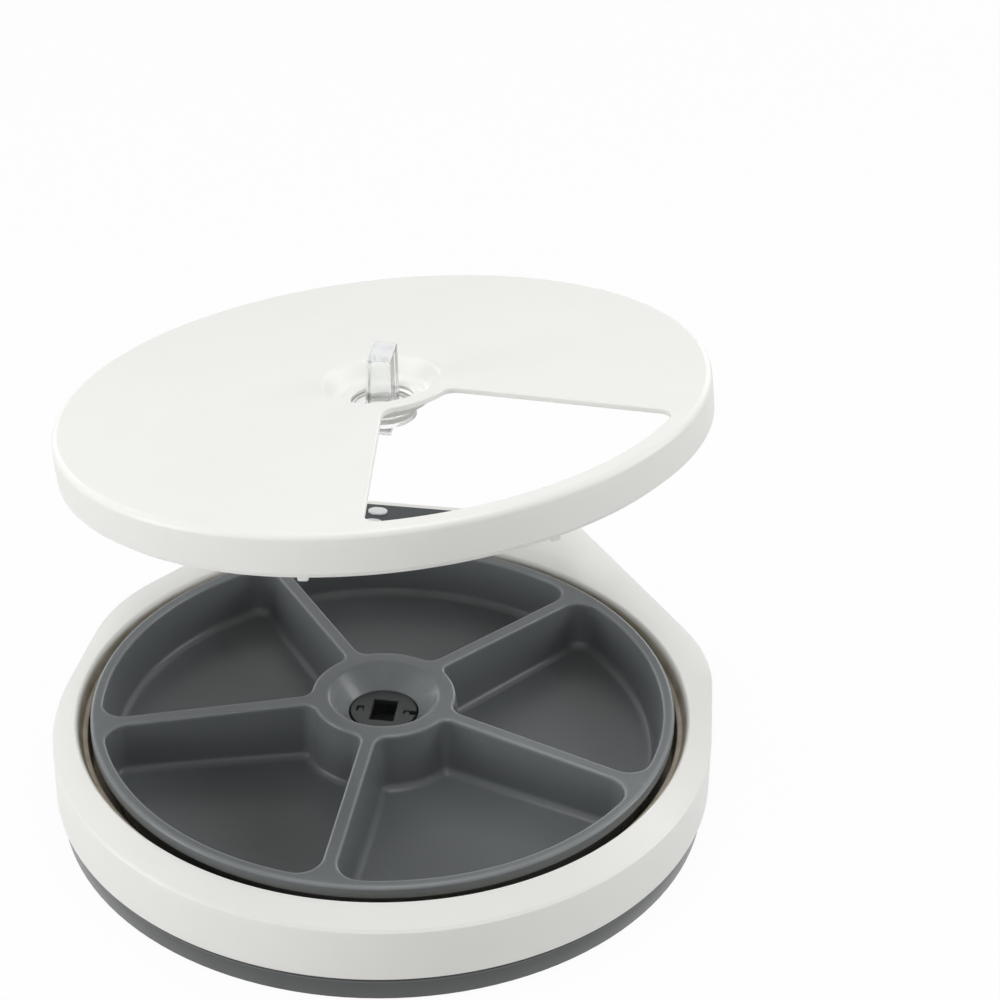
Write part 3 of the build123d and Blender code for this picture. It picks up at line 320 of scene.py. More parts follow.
def moulded_plastic(name, colour, gloss, grain_size, depth, wander=0.06, shine=0.5, film=None):
    """Colour drifts by a few percent, roughness wanders round gloss, sharp edges are smoother
    from wear, and a fine grain lifts the surface. A film lists shares over the surface, each with
    the colour that it mixes in."""
    finish = Finish(name, Roughness=gloss, IOR=PLASTIC_IOR, Specular_IOR_Level=shine)
    cloud = finish.noise(14.0, 2.0)
    handling = finish.noise(55.0, 4.0, 0.6)
    grain = finish.noise(1.0 / grain_size, 2.0, 0.5)
    drift = 0.75 * cloud + 0.25 * handling
    shade = finish.mix(drift, tint(colour, 0.965), tint(colour, 1.03))
    for share, film_colour in film(finish, handling) if film else []:
        shade = finish.mix(share, shade, film_colour)
    rough = gloss + wander * (cloud + handling - 1.0) + 0.04 * (grain - 0.5)
    rough = rough - 0.06 * finish.wear_and_highlight()
    return finish.set(Base_Color=shade, Roughness=rough, Normal=finish.bump(grain, 0.35, depth))


WHITE = (0.865, 0.862, 0.832)
PANEL_GREY = (0.027, 0.032, 0.036)
LOCK_GREY = (0.030, 0.032, 0.034)
KEY_WHITE = (0.78, 0.79, 0.79)
ACETAL = (0.78, 0.78, 0.74)
BLACK = (0.02, 0.02, 0.021)
white_plastic = moulded_plastic("white_plastic", WHITE, 0.40, 0.0009, 0.00003, shine=0.35)
panel_plastic = moulded_plastic("panel_plastic", PANEL_GREY, 0.48, 0.0006, 0.00005, shine=0.25)
lock_plastic = moulded_plastic("lock_plastic", LOCK_GREY, 0.38, 0.0006, 0.00004)
key_plastic = moulded_plastic("key_plastic", KEY_WHITE, 0.34, 0.0008, 0.00002)
acetal = moulded_plastic("acetal", ACETAL, 0.33, 0.0008, 0.00003)
black_plastic = moulded_plastic("black_plastic", BLACK, 0.45, 0.0006, 0.00004)
print("plain plastics: 6, nodes in the white one:", len(white_plastic.node_tree.nodes))

# %% [markdown]
# ## Painted shade and painted highlights
# Painted shade darkens the wall of the gap round the tray with a warm brown, a painted shadow
# line fills the seam under the case with a painted highlight line just below it, and painted light
# makes the tray's rims and spokes paler than its floors, with painted highlights on its edges.
# Such marks could be painted by hand, but each belongs to a height, a distance from the axis or an
# edge, so each film is a smooth ramp over one of these.

# %% Plastics with a film
TRAY_GREY = (0.128, 0.138, 0.142)
BOTTOM_GREY = (0.072, 0.079, 0.078)
# Painted shade in the gap round the tray: its warm brown, and the radii and depths where it fades in
GAP_SHADE_BROWN = (0.31, 0.25, 0.16, 1.0)
GAP_SHADE_RADII = (0.1486, 0.1472)
GAP_SHADE_DEPTHS = (0.0006, 0.0045)
# Heights of the painted highlight line and the painted shadow line at the bottom's seam
SEAM_HIGHLIGHT_HEIGHTS = (0.0117, 0.0121)
SEAM_SHADOW_HEIGHTS = (0.0125, 0.0128)
# Heights over which the tray's painted light rises from its floors to its rims
LIT_TOP_FROM, LIT_TOP_TO = 0.010, 0.004


def painted_gap_shade(finish, speckle):
    """Painted warm brown shade on the wall of the gap: inside the case's rim and below its top."""
    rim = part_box("base_shell")[1][2]
    inside = finish.ramp(finish.radius(), *GAP_SHADE_RADII)
    below = finish.ramp(finish.along("Z"), *[rim - depth for depth in GAP_SHADE_DEPTHS])
    # Painted shade: the gap's wall darkened towards a warm brown below the rim
    return [(inside * below * (0.45 + 0.7 * speckle), GAP_SHADE_BROWN)]


def painted_seam_shadow_and_highlight(finish, speckle):
    """A painted shadow line in the seam under the case's lapped edge, and a painted highlight
    line just below it.
    """
    # Painted highlight just below the seam, painted shadow in the seam itself
    painted_highlight = finish.ramp(finish.along("Z"), *SEAM_HIGHLIGHT_HEIGHTS) * (0.35 + 0.3 * speckle)
    seam_shadow = finish.ramp(finish.along("Z"), *SEAM_SHADOW_HEIGHTS) * (0.8 + 0.2 * speckle)
    return [(painted_highlight, tint(BOTTOM_GREY, 2.2)), (seam_shadow, tint(BOTTOM_GREY, 0.2))]


def painted_rim_light_and_highlights(finish, speckle):
    """The tray's rim and spokes a little paler than its floors as painted light, and its edges
    paler still as painted highlights.
    """
    floor, rim = [corner[2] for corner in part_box("food_tray")]
    # Painted light on the rims and spokes, painted highlights on sharply bent edges
    lit_tops = finish.ramp(finish.along("Z"), floor + LIT_TOP_FROM, rim - LIT_TOP_TO)
    painted_highlight = finish.wear_and_highlight() * (0.5 + 0.5 * speckle)
    return [(lit_tops * (0.9 + 0.2 * speckle), tint(TRAY_GREY, 1.25)), (painted_highlight, tint(TRAY_GREY, 2.0))]


# Painted shade in the case's gap, painted light and highlights on the tray, painted seam lines below
case_plastic = moulded_plastic("case_plastic", WHITE, 0.40, 0.0009, 0.00003, 0.06, 0.35, painted_gap_shade)
tray_plastic = moulded_plastic(
    "tray_plastic", TRAY_GREY, 0.30, 0.0007, 0.000015, 0.03, 0.30, painted_rim_light_and_highlights)
bottom_plastic = moulded_plastic(
    "bottom_plastic", BOTTOM_GREY, 0.32, 0.0007, 0.00004, 0.06, 0.5, painted_seam_shadow_and_highlight)
print("plastics with a film: 3, nodes in the tray's:", len(tray_plastic.node_tree.nodes))

# %% [markdown]
# ## Clear plastic and the display
# The pull handle and the display's window are clear mouldings, and the display behind is a
# grey-green glass. A see-through shader could be mixed in, but that doesn't bend light.
# Transmission does, and faint scuffs keep it from looking like air.

# %% Clear finishes
ACRYLIC_IOR = 1.49


def clear_plastic():
    """Transmission with a slow flow wave on the surface and roughness from flow times scuffs."""
    tone = (0.97, 0.985, 0.98, 1.0)
    finish = Finish("clear_plastic", Base_Color=tone, Transmission_Weight=1.0, IOR=ACRYLIC_IOR)
    flow = finish.noise(60.0, 2.0)
    scuff = finish.noise(420.0, 3.0, 0.6)
    return finish.set(Roughness=0.12 + 0.16 * flow * scuff, Normal=finish.bump(flow, 0.10, 0.0004))


def smoked_window():
    """Smoky transmission whose roughness follows the traces of a wiping cloth."""
    tone = (0.42, 0.45, 0.45, 1.0)
    finish = Finish("smoked_window", Base_Color=tone, Transmission_Weight=0.9, IOR=ACRYLIC_IOR)
    return finish.set(Roughness=0.05 + 0.06 * finish.noise(240.0, 3.0))


def display_glass():
    """A grey-green colour, three parts cloud to two parts fine cells, under a thin coat."""
    finish = Finish("display_glass", IOR=1.5, Coat_Weight=0.3, Coat_Roughness=0.08)
    cells = finish.node("ShaderNodeTexVoronoi", None, {"Vector": finish.place(), "Scale": 1400.0})
    cloud = finish.noise(40.0)
    share = 0.6 * cloud + 0.4 * cells
    shade = finish.mix(share, (0.20, 0.235, 0.20, 1.0), (0.27, 0.31, 0.26, 1.0))
    return finish.set(Base_Color=shade, Roughness=0.22 + 0.1 * cloud)


clear, smoked, display = clear_plastic(), smoked_window(), display_glass()
print("clear finishes:", clear.name, smoked.name, display.name)

# %% [markdown]
# ## Metal, rubber and boards
# Screws and the motor's can are steel with turning marks, the feet are matt rubber, the boards are
# woven glass under green lacquer and the cells wear a plain sleeve. Flat colours could do where
# little shows, but a part that is taken apart shows it all, so each gets its texture.

# %% Steel and rubber
MARK_STRETCH = (2600.0, 2600.0, 90.0)


def turned_steel(name, colour, gloss):
    """Fine marks: a noise stretched about thirty times along one axis, over patches of tarnish."""
    finish = Finish(name, Metallic=1.0)
    spread = {"Vector": finish.place(), "Scale": MARK_STRETCH}
    stretched = finish.node("ShaderNodeMapping", {"vector_type": "POINT"}, spread)
    marks = finish.noise(1.0, 2.0, 0.5, stretched)
    shade = finish.mix(finish.noise(180.0, 3.0), tint(colour, 0.86), tint(colour, 1.06))
    rough = gloss + 0.22 * marks
    return finish.set(Base_Color=shade, Roughness=rough, Normal=finish.bump(marks, 0.2, 0.00002))


def matt_rubber():
    """A coarse grain on the surface, and dust that makes it paler and rougher in patches."""
    finish = Finish("foot_rubber", IOR=1.52)
    grain = finish.noise(1600.0, 3.0)
    dust = finish.noise(90.0, 4.0)
    shade = finish.mix(dust, (0.022, 0.022, 0.022, 1.0), (0.045, 0.044, 0.043, 1.0))
    rough = 0.68 + 0.18 * dust
    return finish.set(Base_Color=shade, Roughness=rough, Normal=finish.bump(grain, 0.5, 0.0001))


steel = turned_steel("screw_steel", (0.62, 0.62, 0.62), 0.24)
motor_steel = turned_steel("motor_steel", (0.52, 0.53, 0.54), 0.30)
rubber = matt_rubber()
print("metal and rubber:", steel.name, motor_steel.name, rubber.name)

# %% Boards and cells
WEAVE_SCALE = 400.0


def lacquered_board():
    """Green lacquer over woven glass: the mean of two crossed waves shows through."""
    finish = Finish("board_lacquer", IOR=1.5, Coat_Weight=0.4, Coat_Roughness=0.15)

    def threads(direction):
        settings = {"wave_type": "BANDS", "bands_direction": direction}
        inputs = {"Vector": finish.place(), "Scale": WEAVE_SCALE}
        return finish.node("ShaderNodeTexWave", settings, inputs, output=1)

    weave = 0.5 * threads("X") + 0.5 * threads("Y")
    shade = finish.mix(weave, (0.010, 0.085, 0.030, 1.0), (0.018, 0.13, 0.048, 1.0))
    return finish.set(Base_Color=shade, Roughness=0.30 + 0.12 * weave)


def cell_wrap():
    """A plain dark sleeve, rubbed paler and rougher in patches."""
    finish = Finish("cell_wrap", IOR=1.5, Coat_Weight=0.5, Coat_Roughness=0.1)
    rub = finish.noise(120.0, 4.0)
    shade = finish.mix(rub, (0.05, 0.055, 0.06, 1.0), (0.11, 0.115, 0.12, 1.0))
    return finish.set(Base_Color=shade, Roughness=0.26 + 0.2 * rub)


board, sleeve = lacquered_board(), cell_wrap()
print("boards and cells:", board.name, sleeve.name)

# %% [markdown]
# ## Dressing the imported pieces
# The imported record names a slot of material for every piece, such as steel or rubber. Each piece
# could be dressed by its own line, but a table from slot to finish can't miss one.

# %% Dress every node
SLOT_FINISH = {
    "white_plastic": white_plastic, "tray_plastic": tray_plastic, "bottom_plastic": bottom_plastic,
    "panel_plastic": panel_plastic, "clear_plastic": clear, "lens_plastic": smoked,
    "button_plastic": key_plastic, "display": display, "acetal": acetal,
    "lock_plastic": lock_plastic, "circuit_laminate": board, "switch_plastic": black_plastic,
    "steel": steel, "motor_steel": motor_steel, "cell_wrap": sleeve, "rubber": rubber,
}
for subpart in frame["record"]["subparts"]:
    mesh = nodes[subpart["node"]].data
    mesh.materials.clear()
    mesh.materials.append(SLOT_FINISH[subpart["material_slot"]])

# %% [markdown]
# ## Closed outlines and lofts
# The lid's window and the tray's compartments share one outline: a slice of a ring whose two edges
# run parallel to its radii. It could be cut out with a Boolean, but that leaves long thin faces,
# which shade badly. A loft joins loops with the same number of points by quads, so loops that grow,
# shrink and drop make clean walls, rounds and floors.

# %% Slice of a ring
EDGE_POINTS = 26
CORNER_POINTS = 12
ARC_POINTS = 49
SHARP = 0.001


def arc(centre, radius, start, stop, count):
    """Points on a circle from one angle to another, in radians."""
    turn = np.linspace(start, stop, count)
    return np.asarray(centre) + radius * np.stack([np.cos(turn), np.sin(turn)], -1)


def between(start, stop, count):
    """Points spread evenly on the line between two points, without the two."""
    share = np.linspace(0, 1, count + 2)[1:-1, None]
    return (1 - share) * start + share * stop


def slice_outline(half_turn, inset, inner, outer, inner_round, outer_round):
    """A slice of a ring round +X, counter-clockwise. Each edge is the radius at half_turn moved
    inwards by inset; each corner circle touches its edge and its arc."""
    along = np.array([math.cos(half_turn), math.sin(half_turn)])
    inward = np.array([math.sin(half_turn), -math.cos(half_turn)])
    away = half_turn + math.pi / 2

    def corner_centre(reach, radius):
        side = inset + radius
        return math.sqrt(reach ** 2 - side ** 2) * along + side * inward

    far = corner_centre(outer - outer_round, outer_round)
    near = corner_centre(inner + inner_round, inner_round)
    far_turn = math.atan2(far[1], far[0])
    near_turn = math.atan2(near[1], near[0])
    far_corner = arc(far, outer_round, far_turn, away, CORNER_POINTS)
    near_corner = arc(near, inner_round, away, near_turn + math.pi, CORNER_POINTS)
    edge = between(far_corner[-1], near_corner[0], EDGE_POINTS - 2)
    upper = np.concatenate([far_corner[1:], edge, near_corner[:-1]])
    lower = upper[::-1] * (1, -1)
    outer_arc = arc((0, 0), outer, -far_turn, far_turn, ARC_POINTS)
    inner_arc = arc((0, 0), inner, near_turn, -near_turn, ARC_POINTS)
    return np.concatenate([outer_arc, upper, inner_arc, lower])


print("points in a slice:", len(slice_outline(math.pi / 5, 2.0, 30.0, 140.0, 5.0, 9.0)))

# %% Lofts and spun profiles
ROUND_POINTS = 7


def turned(points, angle):
    """Points in plan or in space, turned about the vertical axis."""
    c, s = math.cos(angle), math.sin(angle)
    out = np.array(points, float)
    out[..., 0] = c * points[..., 0] - s * points[..., 1]
    out[..., 1] = s * points[..., 0] + c * points[..., 1]
    return out


def raised(outline, height):
    """Plan points with a height, which is one number or one for each point."""
    return np.concatenate([outline, np.broadcast_to(height, outline.shape[:1])[:, None]], -1)


def morph(start, stop, shares):
    """Plans part of the way from one plan to another, one for each share."""
    return [(1 - share) * start + share * stop for share in shares]


def loft(loops, closed=True, ring=False):
    """Quads between neighbouring loops, as points and faces. closed joins each loop's ends; ring
    joins the last loop to the first."""
    grid = np.stack(loops)
    rows, cols = grid.shape[:2]
    row = np.arange(rows if ring else rows - 1)[:, None]
    col = np.arange(cols if closed else cols - 1)[None, :]
    below, right = (row + 1) % rows, (col + 1) % cols
    corners = [row * cols + col, row * cols + right, below * cols + right, below * cols + col]
    return grid.reshape(-1, 3), np.stack(corners, -1).reshape(-1, 4)


def spun(profile, angles):
    """A profile of (radius, height) points carried round the axis through a list of angles."""
    profile = np.asarray(profile, float)
    ring = np.stack([np.cos(angles), np.sin(angles)], -1)
    return [raised(radius * ring, height) for radius, height in profile]


def rounded(profile, rounds, steps=ROUND_POINTS):
    """A line of (radius, height) corners, some replaced by arcs that touch both of their sides. The
    arc's centre lies on the line that halves the corner. rounds is {corner's number: radius}."""
    points = [np.asarray(p, float) for p in profile]
    out = []
    for index, point in enumerate(points):
        if index not in rounds:
            out.append(point[None])
            continue
        back, ahead = points[index - 1] - point, points[(index + 1) % len(points)] - point
        back, ahead = back / np.linalg.norm(back), ahead / np.linalg.norm(ahead)
        half = math.acos(float(np.clip(back @ ahead, -1, 1))) / 2
        middle = (back + ahead) / np.linalg.norm(back + ahead)
        centre = point + middle * rounds[index] / math.sin(half)
        first = point + back * rounds[index] / math.tan(half) - centre
        last = point + ahead * rounds[index] / math.tan(half) - centre
        start = math.atan2(first[1], first[0])
        sweep = (math.atan2(last[1], last[0]) - start + math.pi) % (2 * math.pi) - math.pi
        out.append(arc(centre, rounds[index], start, start + sweep, steps))
    return np.concatenate(out)


print("points in a rounded corner:", len(rounded([(0, 0), (5, 0), (5, 5)], {1: 2.0})) - 2)

# %% [markdown]
# ## From arrays to a piece
# A moulding is one skin. Patches that share a border could stay separate, but light would show a
# line between them, so points that lie together are merged. Shading is smooth, with creases where
# faces turn by more than a set angle, and each point stores how sharply it bends outwards: edges
# are what hands and cloths rub smoother, and the tray's edges also get painted highlights from it.

# %% Edges for wear and painted highlights
WEAR_AND_HIGHLIGHT_BENDS = (180.0, 750.0)


def rows_of(items, name, width, kind=float):
    """One row of numbers for each of a mesh's points or edges."""
    values = np.empty(len(items) * width, kind)
    items.foreach_get(name, values)
    return values.reshape(-1, width)


def mark_wear_and_highlight(mesh):
    """Stores the largest outward bend at each point, from 0 to 1: along an edge, the change of the
    normal over the length."""
    place, normal = rows_of(mesh.vertices, "co", 3), rows_of(mesh.vertices, "normal", 3)
    start, stop = rows_of(mesh.edges, "vertices", 2, int).T
    step = place[stop] - place[start]
    bend = ((normal[stop] - normal[start]) * step).sum(-1) / (step ** 2).sum(-1)
    most = np.zeros(len(place))
    np.maximum.at(most, start, bend)
    np.maximum.at(most, stop, bend)
    low, high = WEAR_AND_HIGHLIGHT_BENDS
    # The stored bend smooths edges as wear and places the tray's painted highlights
    wear_and_highlight = mesh.attributes.new("wear_and_highlight", "FLOAT", "POINT")
    wear_and_highlight.data.foreach_set("value", np.clip((most - low) / (high - low), 0, 1))


# The same bend gives smoother edges and, on the tray, painted highlights
print("worn from a bend radius of", round(1000 / WEAR_AND_HIGHLIGHT_BENDS[0], 1), "mm down")

# %% Making a piece
CREASE = math.radians(38)
WELD_MM = 0.004


def weld(mesh):
    """Merges points that lie together, turns faces outwards and counts the edges left open."""
    work = bmesh.new()
    work.from_mesh(mesh)
    bmesh.ops.remove_doubles(work, verts=work.verts, dist=WELD_MM * MM)
    bmesh.ops.dissolve_degenerate(work, edges=work.edges, dist=WELD_MM * MM)
    bmesh.ops.recalc_face_normals(work, faces=work.faces)
    open_edges = sum(1 for edge in work.edges if not edge.is_manifold)
    work.to_mesh(mesh)
    work.free()
    return open_edges


def make_piece(name, patches, body, material, stands_for, place=None):
    """Joins patches given in millimetres round the tray's axis into one mesh in the frame."""
    starts = np.cumsum([0] + [len(part) for part, quads in patches[:-1]])
    points = np.concatenate([part for part, quads in patches])
    faces = np.concatenate([quads + start for (part, quads), start in zip(patches, starts)])
    if place is not None:
        points = place(points)
    mesh = bpy.data.meshes.new(name)
    mesh.from_pydata(((points + (0, AXIS_Y, 0)) * MM).tolist(), [], faces.tolist())
    open_edges = weld(mesh)
    mesh.shade_smooth()
    mesh.set_sharp_from_angle(angle=CREASE)
    mark_wear_and_highlight(mesh)
    mesh.materials.append(material)
    piece = bpy.data.objects.new(name, mesh)
    scene.collection.objects.link(piece)
    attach(piece, body)
    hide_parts(*stands_for)
    print(f"{name}: {len(mesh.polygons)} faces, {open_edges} open edges")


print("points closer than", WELD_MM, "mm are merged")

# %% [markdown]
# ## The tray
# The tray is one grey moulding with five compartments, a funnel in its hub and a lip round its rim.
# It could be cut from a solid, pocket by pocket. Here one sector is a stack of loops, from the
# middle of its spokes over the edge, down the leaning wall, round the foot and across the floor, so
# every edge is a true round. The rim, the funnel and the underside are a profile spun through the
# same angles, so the two weld together, and five turned copies make the tray.

# %% Tray sizes
MEALS = 5
SECTOR = 2 * math.pi / MEALS
HALF_SECTOR = SECTOR / 2
SECTOR_ANGLES = np.linspace(-HALF_SECTOR, HALF_SECTOR, ARC_POINTS)
tray_low, tray_high = [np.array(corner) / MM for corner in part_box("food_tray")]
TRAY_R = (tray_high[0] - tray_low[0]) / 2
TRAY_CROWN = 4.5
HUB_Z = tray_high[2]
RIM_Z = HUB_Z - TRAY_CROWN
RIM_LAND = 5.7
RIM_ROUND = 1.6
TRAY_T = 2.0
TRAY_BOTTOM = tray_low[2]
TRAY_FLOOR = TRAY_BOTTOM + TRAY_T
POCKET_IN = 35.0
POCKET_OUT = TRAY_R - RIM_LAND
POCKET_ROUNDS = (7.0, 11.5)
LEAST_ROUND = 0.8
SPOKE_HALF = 3.5
FUNNEL_R = 26.8
FUNNEL_EDGE = 1.8
TRAY_CREST = (FUNNEL_R + FUNNEL_EDGE, TRAY_R - RIM_ROUND)
TOP_BEND_IN, TOP_BEND_OUT, TOP_BEND_DROP = 3.0, 4.0, 0.2


def tray_top(points):
    """Height of the tray's top: level over the hub, then a straight fall to the rim."""
    radius = np.hypot(points[..., 0], points[..., 1])
    bends = [POCKET_IN - TOP_BEND_IN, POCKET_IN + TOP_BEND_OUT, POCKET_OUT]
    return np.interp(radius, bends, [HUB_Z, HUB_Z - TOP_BEND_DROP, RIM_Z])


def pocket_outline(shrink):
    """The compartment's edge moved inwards all round by shrink."""
    rounds = [max(r - shrink, LEAST_ROUND) for r in POCKET_ROUNDS]
    return slice_outline(
        HALF_SECTOR, SPOKE_HALF + shrink, POCKET_IN + shrink, POCKET_OUT - shrink, *rounds)


print("tray radius:", round(TRAY_R, 1), "compartment depth:", round(RIM_Z - TRAY_FLOOR, 1), "mm")

# %% One compartment
EDGE_ROUND = 1.3
WALL_LEAN = math.radians(8)
FOOT_ROUND = 4.5
FLOOR_MIDDLE = 0.56


def compartment_edge():
    """Loops over the top from the sector's border to the edge, then a quarter round to the wall."""
    border = slice_outline(HALF_SECTOR, 0.0, *TRAY_CREST, SHARP, SHARP)
    plans = morph(border, pocket_outline(-EDGE_ROUND), (0.0, 0.2, 0.6, 0.9, 1.0))
    loops = [raised(plan, tray_top(plan)) for plan in plans]
    for turn in np.linspace(0, math.pi / 2 - WALL_LEAN, 8)[1:]:
        plan = pocket_outline(EDGE_ROUND * (math.sin(turn) - 1))
        loops.append(raised(plan, tray_top(plan) - EDGE_ROUND * (1 - math.cos(turn))))
    return loops


def compartment_wall(top):
    """Loops from the heights at the top down the leaning wall, round the foot's arc, which touches
    the wall and the floor, and in to one point of the floor."""
    lean = math.tan(WALL_LEAN)
    foot_in = (RIM_Z - TRAY_FLOOR) * lean + FOOT_ROUND * (1 / math.cos(WALL_LEAN) - lean)
    wall_in = foot_in - FOOT_ROUND * math.cos(WALL_LEAN)
    wall_end = TRAY_FLOOR + FOOT_ROUND * (1 - math.sin(WALL_LEAN))
    loops = []
    for share in (0.06, 0.5, 0.94):
        loops.append(raised(pocket_outline(share * wall_in), (1 - share) * top + share * wall_end))
    for turn in np.linspace(WALL_LEAN, math.pi / 2, 9):
        plan = pocket_outline(foot_in - FOOT_ROUND * math.cos(turn))
        loops.append(raised(plan, TRAY_FLOOR + FOOT_ROUND * (1 - math.sin(turn))))
    foot = loops[-1]
    middle = np.array([FLOOR_MIDDLE * (POCKET_IN + POCKET_OUT), 0.0, TRAY_FLOOR])
    return loops + [middle + share * (foot - middle) for share in (0.94, 0.7, 0.4, 0.15, 0.0)]


edge_loops = compartment_edge()
compartment = loft(edge_loops + compartment_wall(edge_loops[-1][:, 2]))
print("faces in one compartment:", len(compartment[1]))

# %% Funnel, underside and rim
FUNNEL_FOOT = (17.0, HUB_Z - 10.3)
COLLAR_R = FUNNEL_FOOT[0] + 2.4
COLLAR_BOTTOM = FUNNEL_FOOT[1] - 13.5
COLLAR_ROOF = FUNNEL_FOOT[1] - 1.1
HUB_ROOF = HUB_Z - 4.2
HUB_ROOF_R = (29.0, 33.0)
UNDER_R = (37.1, 134.3)
LIP_Z = RIM_Z - 6.3
TRAY_ROUNDS = {1: 2.6, 2: 0.8, 9: 1.5, 11: 0.6, 12: RIM_ROUND * 0.98}
TRAY_ANGLE = math.radians(-55.8)


def strip(profile):
    """A profile of (radius, height) points spun through one sector."""
    return loft(spun(profile, SECTOR_ANGLES), closed=False)


def all_round(patches, count, start):
    """Copies of some patches turned evenly about the axis."""
    turns = [start + k * 2 * math.pi / count for k in range(count)]
    return [(turned(points, turn), quads) for turn in turns for points, quads in patches]


# From the hub's top down the funnel, round its collar, along the underside and up round the lip
tray_profile = rounded([
    (TRAY_CREST[0], HUB_Z), (FUNNEL_R, HUB_Z), FUNNEL_FOOT, (FUNNEL_FOOT[0], COLLAR_BOTTOM),
    (COLLAR_R, COLLAR_BOTTOM), (COLLAR_R, COLLAR_ROOF), (HUB_ROOF_R[0], HUB_ROOF),
    (HUB_ROOF_R[1], HUB_ROOF), (UNDER_R[0], TRAY_BOTTOM), (UNDER_R[1], TRAY_BOTTOM),
    (POCKET_OUT + TRAY_T, LIP_Z), (TRAY_R, LIP_Z), (TRAY_R, RIM_Z), (TRAY_CREST[1], RIM_Z),
], TRAY_ROUNDS)
sector = [compartment, strip(tray_profile)]
make_piece("moulded_tray", all_round(sector, MEALS, TRAY_ANGLE), "tray", tray_plastic,
           ["food_tray"])

# %% [markdown]
# ## The lid
# The lid is a shallow cone with a soft edge, a dished finger well and one window. It could be a
# spun profile with the window cut out, but the cut would spoil the smooth top. Here the window's
# sector is a stack of loops: along the underside, round the window's rim and back over the top. The
# other four sectors are plain grids, and the edge and the well are spun profiles.

# %% Lid sizes and window
LID_R = 150.0
LID_EDGE_ROUND = 3.5
LID_T = 2.5
LID_CROWN = 5.3
LID_EDGE_H = 18.7
SEAT_GAP = 0.2
CASE_TOP_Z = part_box("base_shell")[1][2] / MM
LID_BOTTOM_Z = CASE_TOP_Z + SEAT_GAP
LID_SEAT_Z = LID_BOTTOM_Z + LID_EDGE_H
WELL_R = 27.0
WELL_OUT = 29.2
LIP_IN, LIP_OUT = 144.36, 146.36
LID_CREST = (WELL_R + 3.6, LID_R - LID_EDGE_ROUND)
WINDOW_INSET = 3.75
WINDOW_R = (34.5, 141.0)
WINDOW_ROUND = 7.0
WINDOW_RIM = 1.8
WINDOW_RIM_H = 2.7
WINDOW_EDGE_ROUND = 0.9


def crown(radius):
    """Height of the lid's top: a straight rise from the edge to the finger well."""
    return LID_SEAT_Z + LID_CROWN * (LID_CREST[1] - radius) / (LID_CREST[1] - WINDOW_R[0])


def below_crown(plan, depth):
    """Plan points put a depth below the lid's top."""
    return raised(plan, crown(np.hypot(*plan.T)) - depth)


def window_outline(shrink):
    """The window's edge moved inwards all round by shrink."""
    inner, outer = WINDOW_R[0] + shrink, WINDOW_R[1] - shrink
    corner = WINDOW_ROUND - shrink
    return slice_outline(HALF_SECTOR, WINDOW_INSET + shrink, inner, outer, corner, corner)


def window_sector():
    """Loops along the underside, down and round the window's rim, then back over the top."""
    top = slice_outline(HALF_SECTOR, 0.0, *LID_CREST, SHARP, SHARP)
    under = slice_outline(HALF_SECTOR, 0.0, WELL_OUT, LIP_IN, SHARP, SHARP)
    rim, hole = window_outline(-WINDOW_RIM), window_outline(0.0)
    loops = [below_crown(plan, LID_T) for plan in morph(under, rim, (0.0, 0.5, 0.95, 1.0))]
    loops += [below_crown(plan, WINDOW_RIM_H) for plan in (rim, hole)]
    for turn in np.linspace(math.pi / 2, 0, 7):
        plan = window_outline(WINDOW_EDGE_ROUND * (math.sin(turn) - 1))
        loops.append(below_crown(plan, WINDOW_EDGE_ROUND * (1 - math.cos(turn))))
    plans = morph(plan, top, (0.05, 0.3, 0.65, 1.0))
    return [loft(loops + [below_crown(plan, 0.0) for plan in plans])]


print("window:", round(WINDOW_R[1] - WINDOW_R[0], 1), "mm long, lid seat at", round(LID_SEAT_Z, 1))

# %% Lid well, edge and plain sectors
WELL_FOOT_R = 21.5
WELL_FLOOR_Z = LID_SEAT_Z - 3.0
WELL_UNDER_Z = WELL_FLOOR_Z - 2.0
WELL_UNDER_R = WELL_FOOT_R + 0.8
WELL_ROUNDS = {1: 3.5, 2: 4.0, 3: 0.6, 4: 0.4, 5: 2.0}
BAR_HOLE_R = 14.18
SKIRT_T = 2.6
SKIRT_R, SKIRT_Z = LID_R - SKIRT_T, LID_BOTTOM_Z + SKIRT_T
LID_LIP_Z = LID_BOTTOM_Z - 2.8
LID_ROUNDS = {1: LID_EDGE_ROUND * 0.97, 2: 0.9, 3: 0.5, 6: 0.5, 7: 0.5}


# From the crown down the dish to the bar's hole and back underneath
well_profile = rounded([
    (LID_CREST[0], crown(LID_CREST[0])), (WELL_R, crown(WELL_R)), (WELL_FOOT_R, WELL_FLOOR_Z),
    (BAR_HOLE_R, WELL_FLOOR_Z), (BAR_HOLE_R, WELL_UNDER_Z), (WELL_UNDER_R, WELL_UNDER_Z),
    (WELL_OUT, crown(WELL_OUT) - LID_T),
], WELL_ROUNDS, 9)
# From the crown over the soft edge, down the skirt and round the lip
edge_profile = rounded([
    (LID_CREST[1], crown(LID_CREST[1])), (LID_R, crown(LID_R)), (LID_R, LID_BOTTOM_Z),
    (SKIRT_R, LID_BOTTOM_Z), (SKIRT_R, SKIRT_Z), (LIP_OUT, SKIRT_Z), (LIP_OUT, LID_LIP_Z),
    (LIP_IN, LID_LIP_Z), (LIP_IN, crown(LIP_IN) - LID_T),
], LID_ROUNDS, 11)
# A sector without a window: straight rows from the well to the edge, above and below
top_row, under_row = [np.linspace(*ends, EDGE_POINTS) for ends in (LID_CREST, (WELL_OUT, LIP_IN))]
plain_sector = [strip(np.stack([top_row, crown(top_row)], -1)),
                strip(np.stack([under_row, crown(under_row) - LID_T], -1))]
print("well floor:", round(crown(WELL_R) - WELL_FLOOR_Z, 1), "mm below the crown")

